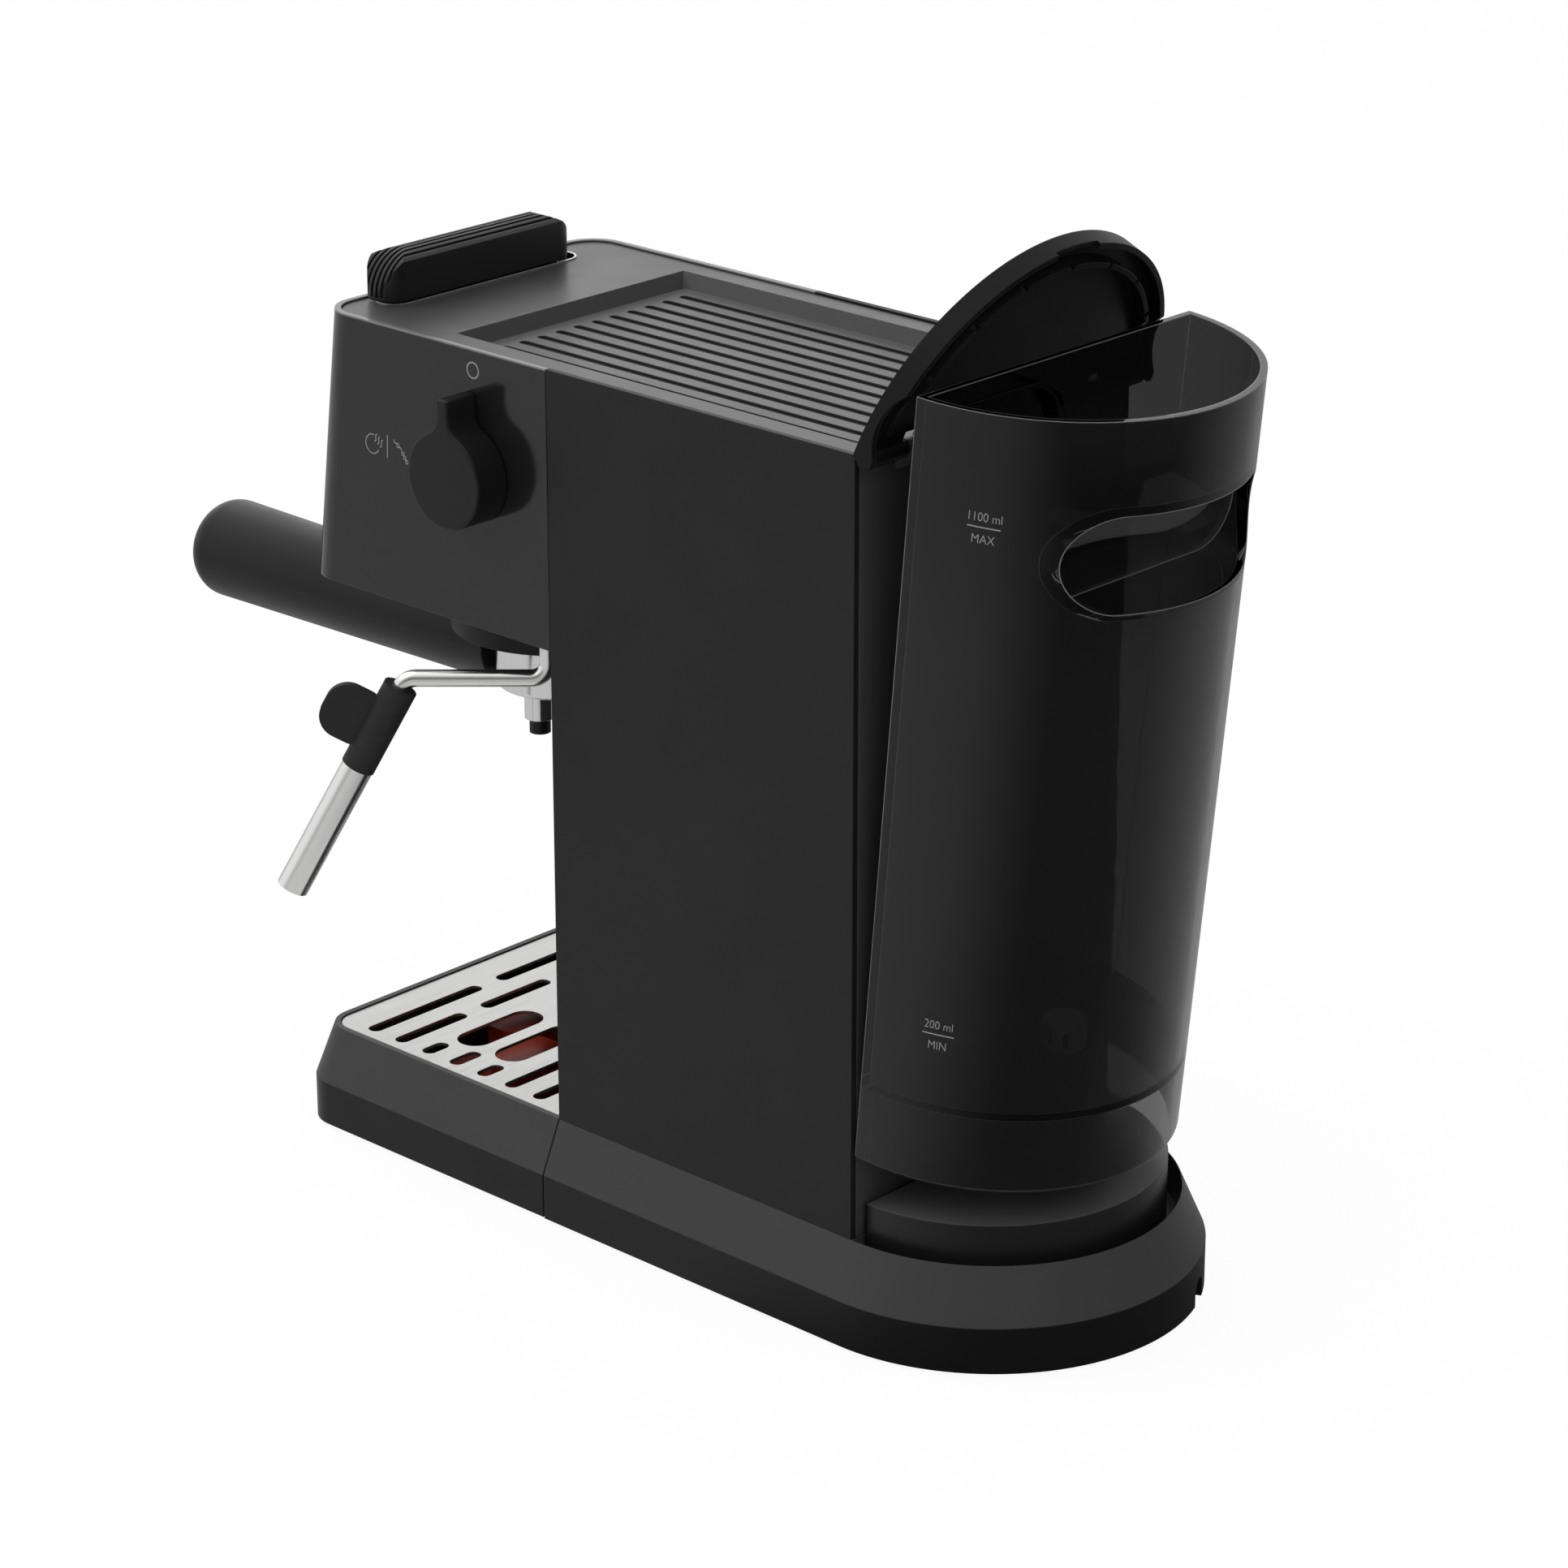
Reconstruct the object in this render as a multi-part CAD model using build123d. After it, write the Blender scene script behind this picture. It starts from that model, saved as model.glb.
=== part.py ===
from build123d import *
import math
import os

# A compact pump espresso machine with a rear water tank.
# Millimetres. +Z up, -Y to the front (portafilter handle), +X to the side with
# the steam knob. The origin is on the foot plane, at the middle of the base.

# Clearances
RUN = 0.3             # running gap between a moving piece and its seat
FIT = 0.3             # gap between two shells that are put together
WALL = 2.2            # moulded shell thickness

# Base
FOOT_H = 1.5          # rubber feet, below the base
BASE_HALF = 74.2      # half width at the lower band
BAND_TOP = 17.9       # top of the upright lower band
BASE_TOP = 36.6       # top of the chamfer
CHAMFER_SIDE = 8.2    # inward run of the chamfer at the sides and rear
CHAMFER_FRONT = 3.8   # inward run of the chamfer at the tray front
BASE_WALL = 3.0
PLATE_T = 2.6         # base plate thickness

# Column
COLUMN_HALF = BASE_HALF - CHAMFER_SIDE
COLUMN_FRONT = -42.5
COLUMN_REAR = 94.3
TOP = 306.3           # top rim of column and head

# Head
HEAD_H = 97.8
HEAD_BOTTOM = TOP - HEAD_H
HEAD_FRONT_LOW = -165.9
HEAD_FRONT_TOP = -153.8
HEAD_CORNER_R = 14.0
HEAD_FLOOR_T = 2.5
TOP_PLATE_DROP = 0.7  # top plate lies this much below the rim
TOP_PLATE_T = 2.6

# Cup recess in the top plate
RECESS_FRONT = -97.0
RECESS_REAR = 86.0
RECESS_MARGIN = 11.5  # from the side of the column
RECESS_HALF = COLUMN_HALF - RECESS_MARGIN
RECESS_DEPTH = 5.0
RECESS_SLOPE = 4.0
GROOVE_PITCH = 8.6
GROOVE_W = 3.4
GROOVE_EDGE = 5.0     # least distance from a groove axis to the recess wall
GROOVE_PAIRS = int((RECESS_HALF - RECESS_SLOPE - GROOVE_EDGE) / GROOVE_PITCH)
GROOVE_DEPTH = 1.3

# Ribbed control bar
BAR_X0 = -39.0
BAR_X1 = 50.0
BAR_Y = -142.7
BAR_W = 16.4
BAR_RISE = 18.0
BAR_LIFT = 1.7        # gap between cap and top plate, for the rock
BAR_DOME_R = 14.0
STEM_W = 11.6
STEM_INSET = 4.0      # stem end inside the cap end
BAR_SINK = 6.0        # depth of the bar below the top plate surface
BAR_END_R = 15.0
BAR_GROOVES = 6
BAR_GROOVE_PITCH = 2.3
BAR_GROOVE_W = 1.1
BAR_GROOVE_DEPTH = 1.0
BAR_PIN_R = 1.2
BAR_PIN_DROP = 3.6    # pin axis below the top plate surface
SLOT_GAP = 0.6
SLOT_X0 = -43.4
SLOT_X1 = BAR_X1 - STEM_INSET + SLOT_GAP
BEZEL_W = 0.7         # width of the bright rim round the slot
POCKET_DEPTH = 9.5
POCKET_WALL = 1.2

# Drip tray
TRAY_FRONT = -169.3
TRAY_CORNER_R = 15.0
TRAY_WALL = 2.4
TRAY_LEDGE = 2.2
TRAY_FLOOR = 8.0      # top of the tray floor
TONGUE_INSET = 16.2   # tongue of the base plate under the tray, from the side
TONGUE_HALF = BASE_HALF - TONGUE_INSET
TONGUE_FRONT = -150.0
GRILLE_T = 1.2
GRILLE_CORNER_R = 9.0
SLOT_PITCH = 14.2
SLOT_ROWS = 7
SLOT_W = 5.6
SLOT_MARGIN = 4.6     # slot end from the edge of the grille
SLOT_LONG_CUT = 21.0  # the second row is this much shorter than the first
SLOT_BRIDGE = 3.2     # metal between two slots of a row
SLOT_SHORT = 11.0
SLOT_MIDDLE = 13.4
WINDOW_W = 13.5
WINDOW_X0 = 6.6
WINDOW_MARGIN = 14.5  # window end from the slot end
WINDOW_OFFSET = 9.8   # windows lie either side of the middle row
FLOAT_TOP = 30.5
FLOAT_H = 11.7        # height of the hollow foot of the float

# Brewing group and portafilter
GROUP_Y = -106.5
COLLAR_R = 38.0
COLLAR_H = 20.9
COLLAR_BOTTOM = HEAD_BOTTOM - COLLAR_H
CUP_R = 22.7
CUP_DROP = 43.5       # underside of the filter holder below the head
CUP_BOTTOM = HEAD_BOTTOM - CUP_DROP
FLANGE_R = 30.6
FLANGE_DROP = 8.5
FLANGE_TOP = HEAD_BOTTOM - FLANGE_DROP
LUG_R = 34.5
LUG_HALF_DEG = 14.0
LUG_H = 6.0
LUG_Z1 = FLANGE_TOP - 0.4
LUG_Z0 = LUG_Z1 - LUG_H
TURN_DEG = 45.0       # bayonet turn
BASKET_R = 19.4
HANDLE_RISE = 10.0    # handle axis above the underside of the filter holder
HANDLE_Z = CUP_BOTTOM + HANDLE_RISE
HANDLE_R = 18.5       # at the free end
HANDLE_NECK_R = 16.5  # at the filter holder
HANDLE_CAP = 10.0     # rounding of the free end
HANDLE_END = -289.5
HANDLE_CLEAR = 0.9    # gap below the collar
NECK_R = 6.0          # metal neck inside the handle
SPOUT_X = 10.0
SPOUT_R = 5.4
SPOUT_LEN = 11.0
SPOUT_BOTTOM = CUP_BOTTOM - SPOUT_LEN
OUTLET_R = 3.2
OUTLET_LEN = 5.5
OUTLET_BOTTOM = SPOUT_BOTTOM - OUTLET_LEN
BOILER_R = 29.0
BOILER_DROP = 48.3    # top of the heater block below the top rim
BOILER_TOP = TOP - BOILER_DROP
BORE_R = 27.0         # hole in head floor and collar
GROUP_FACE = HEAD_BOTTOM - 5.1
GROUP_SEAT = HEAD_BOTTOM - 2.5

# Steam wand
WAND_INSET = 16.0     # swivel from the side of the column
WAND_X = COLUMN_HALF - WAND_INSET
WAND_Y = -60.2
WAND_DROP = 18.0      # level run of the pipe below the head
WAND_Z = HEAD_BOTTOM - WAND_DROP
WAND_OUT = 48.7       # length of the level run
WAND_AZ = -46.9       # direction of the level run, from +X
WAND_LEAN = 28.2      # lean of the grip from the vertical
WAND_BEND_R = 6.0
PIPE_R = 3.0
BUSH_R = 6.0
GRIP_START = 3.7      # start of the grip after the bend
GRIP_R = 6.0
GRIP_LEN = 32.5
TAB_MID = 16.4        # middle of the finger tab along the grip
TAB_LEN = 20.0
TAB_REACH = 20.8
TAB_T = 3.2
TIP_R = 5.6
TIP_LEN = 50.7
WAND_LEN = GRIP_START + GRIP_LEN + TIP_LEN

# Steam knob
KNOB_Y = -78.5
KNOB_DROP = 42.9      # knob axis below the top rim
KNOB_Z = TOP - KNOB_DROP
KNOB_R = 17.0
KNOB_T = 13.2
KNOB_TAB_W = 5.2
KNOB_TAB_TOP = 28.0
SHAFT_R = 3.0

# Water tank, given in its seated upright pose
TANK_FRONT = 96.4
TANK_BOTTOM = 22.5
TANK_TAPER = 1.0      # the tank is this much narrower at its skirt edge
TANK_R_HIGH = COLUMN_HALF
TANK_R_LOW = TANK_R_HIGH - TANK_TAPER
RIM_DROP = 17.9       # front of the tank rim below the top of the column
TANK_H = TOP - TANK_BOTTOM - RIM_DROP
TANK_EDGE = 1.4       # bevel of the skirt edge
TANK_WALL = 2.4
TANK_FLOOR = 26.4     # underside of the tank floor above its skirt edge
TANK_FLOOR_T = 2.6
RIM_RISE_DEG = 2.0    # the rim rises to the rear
GRIP_DROP = 29.3      # top of the finger recess below the rim
GRIP_H = 32.6
GRIP_Z1 = TANK_H - GRIP_DROP
GRIP_Z0 = GRIP_Z1 - GRIP_H
GRIP_HALF = 46.7
GRIP_DEPTH = 26.5
NIPPLE_Y = 30.0       # behind the tank front
NIPPLE_R = 6.0
NIPPLE_LEN = 40.9
LEAN_DEG = 5.33       # lean of the drawn-up tank
REST_FRONT = 94.9     # lower front edge of the drawn-up tank
REST_BOTTOM = 65.6

# Tank seat
SEAT_TOP = 48.5
SEAT_GAP = 1.9        # gap inside the tank skirt, for the swing
SEAT_R = TANK_R_LOW - TANK_WALL - SEAT_GAP
MOAT_GAP = 0.7        # gap outside the tank skirt
MOAT_FRONT = 1.4      # gap ahead of the tank front
MOAT_DROP = 0.4       # gap below the tank skirt
SOCKET_R = 10.0
SOCKET_SHIFT = 1.5    # socket axis ahead of the seated nipple
SOCKET_WALL = 2.4
SOCKET_FOOT = 4.6
SEAL_H = 4.0

# Tank lid, given closed
LID_PIVOT_Y = 97.6
LID_PIVOT_DROP = 1.2  # hinge below the top of the column
LID_PIVOT_Z = TOP - LID_PIVOT_DROP
LID_OVERHANG = 1.8    # lid edge beyond the tank
LID_R = TANK_R_HIGH + LID_OVERHANG
LID_T = 2.0
LID_EDGE = 7.6        # full height of the lid edge
LID_RING_R = 60.6
LID_RING_H = 7.6
LID_RING_START = 9.0  # the inner ring starts this far behind the pivot
RELIEF_Y = 15.0       # relief in the lid edge that lets the tank rim pass
RELIEF_R = 18.9
RELIEF_DEPTH = 3.7    # edge height left at the relief
KNUCKLE_R = 3.0
PIN_R = 1.3
LUG_X = COLUMN_HALF - 22.0  # hinge lugs on the rear panel
LUG_W = 6.0
LID_OPEN_DEG = 67.0

# Inner works
FRAME_HALF = COLUMN_HALF - 16.0
FRAME_Y = 10.0
FRAME_T = 2.0
FRAME_TOP = 240.0
FRAME_CUT_HALF = 20.0
FRAME_CUT_Z0 = 160.0
FRAME_CUT_Z1 = 228.0
EAR_Z0 = 100.0        # ears that brace the frame against the column
EAR_H = 30.0
PUMP_Y = 40.0
PUMP_R = 22.0
PUMP_Z0 = 72.0
PUMP_Z1 = 150.0
COIL_HALF = 24.0
COIL_Z0 = 96.0
COIL_H = 30.0
PAD_HALF = 12.0       # rubber blocks of the pump
PAD_H = 11.0
BOARD_HALF = 46.0
BOARD_Z0 = 110.0
BOARD_Z1 = 208.0
HOSE_R = 4.0
HOSE_BORE = 2.5
HOSE_Z = 14.0

CORD_NOTCH_DEG = 115.5  # direction of the cord notch from +X
CORD_NOTCH_W = 9.0
CORD_NOTCH_H = 9.0
CORD_R = 2.6
GLAND_WALL = 0.8


def block(x0, x1, y0, y1, z0, z1):
    """Box between two corners."""
    size = Box(x1 - x0, y1 - y0, z1 - z0)
    return Pos((x0 + x1) / 2, (y0 + y1) / 2, (z0 + z1) / 2) * size


def rod_z(x, y, z0, z1, radius):
    """Upright cylinder."""
    return Pos(x, y, (z0 + z1) / 2) * Cylinder(radius, z1 - z0)


def rod_x(y, z, x0, x1, radius):
    """Cylinder along X."""
    return Pos((x0 + x1) / 2, y, z) * Rot(0, 90, 0) * Cylinder(radius, x1 - x0)


def rod_y(x, z, y0, y1, radius):
    """Cylinder along Y."""
    return Pos(x, (y0 + y1) / 2, z) * Rot(90, 0, 0) * Cylinder(radius, y1 - y0)


def tail_face(half, front, arc_y):
    """Outline with a straight front edge and a half-round rear."""
    sides = Polyline((-half, arc_y), (-half, front), (half, front), (half, arc_y))
    rear = ThreePointArc((half, arc_y), (0, arc_y + half), (-half, arc_y))
    return make_face(Curve() + [sides, rear])


def half_disc(radius, front=0.0):
    """Half disc whose flat edge lies on y = front."""
    flat = Line((-radius, front), (radius, front))
    arc = ThreePointArc((radius, front), (0, front + radius), (-radius, front))
    return make_face(Curve() + [flat, arc])


def front_strip(half, depth):
    """Strip ahead of the flat edge of a half disc."""
    return Pos(0, -depth / 2) * Rectangle(2 * half, depth)


def front_rounded(half, front, rear, radius):
    """Rectangle with its two front corners rounded."""
    bend = radius * (1 - math.sqrt(0.5))
    edges = [
        Line((half, rear), (half, front + radius)),
        ThreePointArc((half, front + radius), (half - bend, front + bend), (half - radius, front)),
        Line((half - radius, front), (radius - half, front)),
        ThreePointArc((radius - half, front), (bend - half, front + bend), (-half, front + radius)),
        Line((-half, front + radius), (-half, rear)),
        Line((-half, rear), (half, rear)),
    ]
    return make_face(Curve() + edges)


def blend(face_low, z_low, face_high, z_high):
    """Straight-sided solid between two outlines."""
    return loft([Pos(0, 0, z_low) * face_low, Pos(0, 0, z_high) * face_high], ruled=True)


def tube(points, bend_r, radius, bore=0.0):
    """Tube swept along straight runs with rounded bends."""
    path = FilletPolyline(*points, radius=bend_r)
    start = Plane(origin=path @ 0, z_dir=path % 0)
    solid = sweep(start * Circle(radius), path=path)
    if bore:
        solid -= sweep(start * Circle(bore), path=path)
    return solid


def tank_rest(solid):
    """Move a piece of the tank from its seat to the drawn-up, leaning pose."""
    about = Pos(0, TANK_FRONT, TANK_BOTTOM)
    return Pos(0, REST_FRONT, REST_BOTTOM) * Rot(-LEAN_DEG, 0, 0) * about.inverse() * solid


def lid_rest(solid):
    """Open a piece of the lid about its hinge."""
    hinge = Pos(0, LID_PIVOT_Y, LID_PIVOT_Z)
    return hinge * Rot(LID_OPEN_DEG, 0, 0) * hinge.inverse() * solid


def base_body(half, wall_drop):
    """Chamfered base block, reaching forward of the tray seam."""
    ahead = COLUMN_FRONT - 30
    band = extrude(Pos(0, 0, FOOT_H) * tail_face(half, ahead, TANK_FRONT), BAND_TOP - FOOT_H)
    rise = BASE_TOP - BAND_TOP - wall_drop
    run = CHAMFER_SIDE * rise / (BASE_TOP - BAND_TOP)
    top = tail_face(half - run, ahead, TANK_FRONT)
    return band + blend(tail_face(half, ahead, TANK_FRONT), BAND_TOP, top, BAND_TOP + rise)


SEAM = COLUMN_FRONT + FIT   # joint between tray and base
SOCKET_Y = TANK_FRONT + NIPPLE_Y - SOCKET_SHIFT
PLATE_Z = TOP - TOP_PLATE_DROP
FOOT_X = BASE_HALF - 30.2
SCREW_X = BASE_HALF - 18.2
SCREW_X_REAR = SCREW_X - 4.0
SCREW_SPOTS = [(-SCREW_X, -20), (SCREW_X, -20), (-SCREW_X_REAR, 104), (SCREW_X_REAR, 104)]
FOOT_SPOTS = [(-FOOT_X, -136), (FOOT_X, -136), (0, 0), (-FOOT_X, 128), (FOOT_X, 128)]


def make_base_shell():
    """Rear base casing with the moat for the tank skirt and the cord notch."""
    shell = base_body(BASE_HALF, 0) - base_body(BASE_HALF - BASE_WALL, BASE_WALL)
    shell -= block(-90, 90, -120, SEAM, 0, 60)
    front_wall = base_body(BASE_HALF, 0) & block(-90, 90, SEAM, SEAM + BASE_WALL, 0, 60)
    shell += front_wall
    shell -= block(-TONGUE_HALF - FIT, TONGUE_HALF + FIT, SEAM - 1, SEAM + 5, 0, FOOT_H + PLATE_T + FIT)
    moat_r = TANK_R_LOW + MOAT_GAP
    floor_z = TANK_BOTTOM - MOAT_DROP
    cup = Pos(0, TANK_FRONT, floor_z - 2.4) * (half_disc(moat_r + 2.2) + front_strip(moat_r + 2.2, 2.5))
    shell += extrude(cup, BASE_TOP - floor_z + 2.4) & base_body(BASE_HALF - 0.2, 0)
    moat = Pos(0, TANK_FRONT, floor_z) * (half_disc(moat_r) + front_strip(moat_r, MOAT_FRONT))
    shell -= extrude(moat, 40)
    shell -= rod_z(0, SOCKET_Y, 0, 60, SOCKET_R + SOCKET_WALL + FIT)
    shell -= block(-40, 40, 4, 82, BASE_TOP - 8, BASE_TOP + 5)
    for x, y in SCREW_SPOTS:
        ceiling = BASE_TOP if y < COLUMN_REAR else floor_z
        shell += rod_z(x, y, FOOT_H + PLATE_T, ceiling - 1, 4.2)
        shell -= rod_z(x, y, 0, 16, 1.7)
    notch = block(BASE_HALF - 8, BASE_HALF + 8, -CORD_NOTCH_W / 2, CORD_NOTCH_W / 2, 0,
                  CORD_NOTCH_H - CORD_NOTCH_W / 2)
    notch += Pos(BASE_HALF, 0, CORD_NOTCH_H - CORD_NOTCH_W / 2) * Rot(0, 90, 0) * Cylinder(CORD_NOTCH_W / 2, 16)
    return shell - Pos(0, TANK_FRONT, FOOT_H) * Rot(0, 0, CORD_NOTCH_DEG) * notch


def make_base_plate():
    """Bottom cover with the tongue that the tray runs on."""
    half = BASE_HALF - BASE_WALL - FIT
    face = tail_face(half, SEAM + BASE_WALL + FIT, TANK_FRONT)
    plate = extrude(Pos(0, 0, FOOT_H) * face, PLATE_T)
    plate += block(-TONGUE_HALF, TONGUE_HALF, TONGUE_FRONT, SEAM + 12, FOOT_H, FOOT_H + PLATE_T)
    for x, y in SCREW_SPOTS:
        plate -= rod_z(x, y, 0, 10, 1.9)
        plate -= rod_z(x, y, 0, FOOT_H + 1.2, 3.6)
    for x, y in FOOT_SPOTS:
        plate -= rod_z(x, y, 0, 10, 2.5)
    return plate


def make_rubber_feet():
    """Five feet, each with a stud pressed into the base plate."""
    feet = []
    for x, y in FOOT_SPOTS:
        foot = rod_z(x, y, 0, FOOT_H, 8.0) + rod_z(x, y, FOOT_H, FOOT_H + PLATE_T, 2.5)
        feet.append(foot)
    return feet


def make_base_screws():
    """Four screws that hold the base plate."""
    screws = []
    for x, y in SCREW_SPOTS:
        shank = rod_z(x, y, FOOT_H + 0.2, 14, 1.6)
        screws.append(shank + rod_z(x, y, FOOT_H + 0.1, FOOT_H + 1.2, 3.3))
    return screws


def make_cord_gland():
    """Rubber bush behind the cord notch."""
    reach = BASE_HALF - BASE_WALL
    axis = Pos(reach - 5.2, 0, PLATE_T + CORD_R + GLAND_WALL + 0.1) * Rot(0, 90, 0)
    gland = axis * Cylinder(CORD_R + GLAND_WALL, 10)
    gland += block(reach - 10, reach - 7.5, -5.5, 5.5, PLATE_T, PLATE_T + 9)
    gland -= axis * Cylinder(CORD_R, 20)
    return Pos(0, TANK_FRONT, FOOT_H) * Rot(0, 0, CORD_NOTCH_DEG) * gland


def make_column_housing():
    """Front and sides of the column."""
    outer = block(-COLUMN_HALF, COLUMN_HALF, COLUMN_FRONT, COLUMN_REAR, BASE_TOP, TOP)
    inner = block(WALL - COLUMN_HALF, COLUMN_HALF - WALL, COLUMN_FRONT + WALL, COLUMN_REAR + 1, 0, TOP + 1)
    shell = outer - inner
    side = COLUMN_HALF - 8
    passage = block(-side, side, COLUMN_FRONT - 5, COLUMN_FRONT + 5, HEAD_BOTTOM + 8, TOP + 1)
    ledge = block(WALL - COLUMN_HALF - 0.1, COLUMN_HALF - WALL + 0.1, COLUMN_FRONT + 0.5, COLUMN_FRONT + 6,
                  HEAD_BOTTOM + 2, HEAD_BOTTOM + 8)
    plate_bed = PLATE_Z - TOP_PLATE_T - FIT
    passage += block(WALL - COLUMN_HALF, COLUMN_HALF - WALL, COLUMN_FRONT - 5, COLUMN_FRONT + 5,
                     plate_bed, TOP + 1)
    return shell + ledge - passage


PANEL_SCREWS = [(-30, 60), (30, 60), (-30, 250), (30, 250)]


def make_rear_panel():
    """Rear cover of the column with the lid hinge lugs."""
    half = COLUMN_HALF - WALL - FIT
    top = TOP - TOP_PLATE_DROP - TOP_PLATE_T - FIT
    panel = block(-half, half, COLUMN_REAR - WALL, COLUMN_REAR, BASE_TOP, top)
    web = make_face(Polyline((COLUMN_REAR - 0.5, top - 6), (COLUMN_REAR - 0.5, top), (COLUMN_REAR, top),
                             (COLUMN_REAR, LID_PIVOT_Z), (LID_PIVOT_Y, LID_PIVOT_Z),
                             (LID_PIVOT_Y, LID_PIVOT_Z - KNUCKLE_R), (COLUMN_REAR - 0.5, top - 6)))
    for side in (-1, 1):
        x = side * LUG_X - LUG_W / 2
        lug = Pos(x, 0, 0) * extrude(Plane.YZ * web, LUG_W)
        lug += rod_x(LID_PIVOT_Y, LID_PIVOT_Z, x, x + LUG_W, KNUCKLE_R)
        panel += lug - rod_x(LID_PIVOT_Y, LID_PIVOT_Z, x - 1, x + LUG_W + 1, PIN_R)
    for x, z in PANEL_SCREWS:
        panel -= rod_y(x, z, COLUMN_REAR - 5, COLUMN_REAR + 1, 1.7)
        panel -= rod_y(x, z, COLUMN_REAR - 1.4, COLUMN_REAR + 1, 3.4)
    inlet_slots = [block(-24, 24, COLUMN_REAR - 5, COLUMN_REAR + 1, z, z + 2.4) for z in range(200, 236, 6)]
    for slot in inlet_slots:
        panel -= slot
    return panel


def make_panel_screws():
    """Four countersunk screws of the rear cover."""
    screws = []
    for x, z in PANEL_SCREWS:
        head = rod_y(x, z, COLUMN_REAR - 1.4, COLUMN_REAR - 0.2, 3.2)
        screws.append(head + rod_y(x, z, COLUMN_REAR - 7, COLUMN_REAR - 1.4, 1.6))
    return screws


def head_body(inset):
    """Head block with its leaning front and rounded front corners."""
    low = front_rounded(COLUMN_HALF - inset, HEAD_FRONT_LOW + inset, COLUMN_FRONT, HEAD_CORNER_R - inset)
    high = front_rounded(COLUMN_HALF - inset, HEAD_FRONT_TOP + inset, COLUMN_FRONT, HEAD_CORNER_R - inset)
    return blend(low, HEAD_BOTTOM, high, TOP)


def make_head_cover():
    """Glossy cover round the sides and front of the head."""
    cover = head_body(0) - head_body(WALL)
    cover -= block(-COLUMN_HALF - 1, COLUMN_HALF + 1, COLUMN_FRONT - FIT, COLUMN_FRONT + 1, 0, TOP + 1)
    cover -= rod_x(KNOB_Y, KNOB_Z, COLUMN_HALF - 6, COLUMN_HALF + 2, SHAFT_R + 0.6)
    return cover


def make_head_floor():
    """Underside of the head, carrying the brewing group."""
    floor = head_body(WALL + FIT) & block(-COLUMN_HALF, COLUMN_HALF, HEAD_FRONT_LOW, COLUMN_FRONT - FIT,
                                          HEAD_BOTTOM, HEAD_BOTTOM + HEAD_FLOOR_T)
    floor -= rod_z(0, GROUP_Y, GROUP_SEAT - 5, HEAD_BOTTOM + 10, BORE_R)
    return floor - rod_z(WAND_X, WAND_Y, HEAD_BOTTOM - 5, HEAD_BOTTOM + 10, BUSH_R + FIT)


def plate_outline(z):
    """Top plate outline, inside the rim of head and column."""
    lean = (HEAD_FRONT_LOW - HEAD_FRONT_TOP) * (TOP - z) / (TOP - HEAD_BOTTOM)
    inset = WALL + FIT
    front = HEAD_FRONT_TOP + lean + inset
    rear = COLUMN_REAR - FIT
    return front_rounded(COLUMN_HALF - inset, front, rear, HEAD_CORNER_R - inset)


BAR_LEN = BAR_X1 - BAR_X0
SLOT_HALF = STEM_W / 2 + SLOT_GAP


def slot_solid(grow, z0, z1):
    """Round-ended slot round the control bar."""
    x0 = SLOT_X0 - grow
    x1 = SLOT_X1 + grow
    half = SLOT_HALF + grow
    face = RectangleRounded(x1 - x0, 2 * half, half - 0.2)
    return extrude(Pos((x0 + x1) / 2, BAR_Y, z0) * face, z1 - z0)


def make_top_plate():
    """Top of the machine with the ribbed cup recess and the bar slot."""
    low = PLATE_Z - TOP_PLATE_T
    plate = blend(plate_outline(low), low, plate_outline(PLATE_Z), PLATE_Z)
    recess_top = Rectangle(2 * RECESS_HALF, RECESS_REAR - RECESS_FRONT)
    floor_face = Rectangle(2 * (RECESS_HALF - RECESS_SLOPE), RECESS_REAR - RECESS_FRONT - 2 * RECESS_SLOPE)
    centre = (0, (RECESS_FRONT + RECESS_REAR) / 2)
    pan_z = PLATE_Z - RECESS_DEPTH
    pan = Pos(*centre) * blend(
        offset(floor_face, TOP_PLATE_T), pan_z - TOP_PLATE_T, offset(recess_top, TOP_PLATE_T), PLATE_Z - 0.5)
    plate += pan
    plate -= Pos(*centre) * blend(floor_face, pan_z, recess_top, PLATE_Z + 0.02)
    run = RECESS_REAR - RECESS_FRONT - 2 * RECESS_SLOPE - 12
    for index in range(-GROOVE_PAIRS, GROOVE_PAIRS + 1):
        x = index * GROOVE_PITCH
        groove = SlotOverall(run, GROOVE_W, rotation=90)
        plate -= extrude(Pos(x, centre[1], pan_z - GROOVE_DEPTH) * groove, GROOVE_DEPTH + 1)
    plate += slot_solid(POCKET_WALL, PLATE_Z - POCKET_DEPTH, PLATE_Z - TOP_PLATE_T + 0.2)
    plate -= slot_solid(BEZEL_W, PLATE_Z - 1.8, PLATE_Z + 1)
    plate -= slot_solid(0, PLATE_Z - POCKET_DEPTH + 1.4, PLATE_Z + 1)
    return plate - rod_x(BAR_Y, BAR_PIVOT_Z, SLOT_X0 - POCKET_WALL + 0.3,
                         SLOT_X1 + POCKET_WALL - 0.3, BAR_PIN_R)


def make_bar_bezel():
    """Bright rim round the bar slot."""
    ring = slot_solid(BEZEL_W, PLATE_Z - 1.8, PLATE_Z + 0.5)
    return ring - slot_solid(0, PLATE_Z - 3, PLATE_Z + 1)


BAR_PIVOT_Z = PLATE_Z - BAR_PIN_DROP


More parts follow.
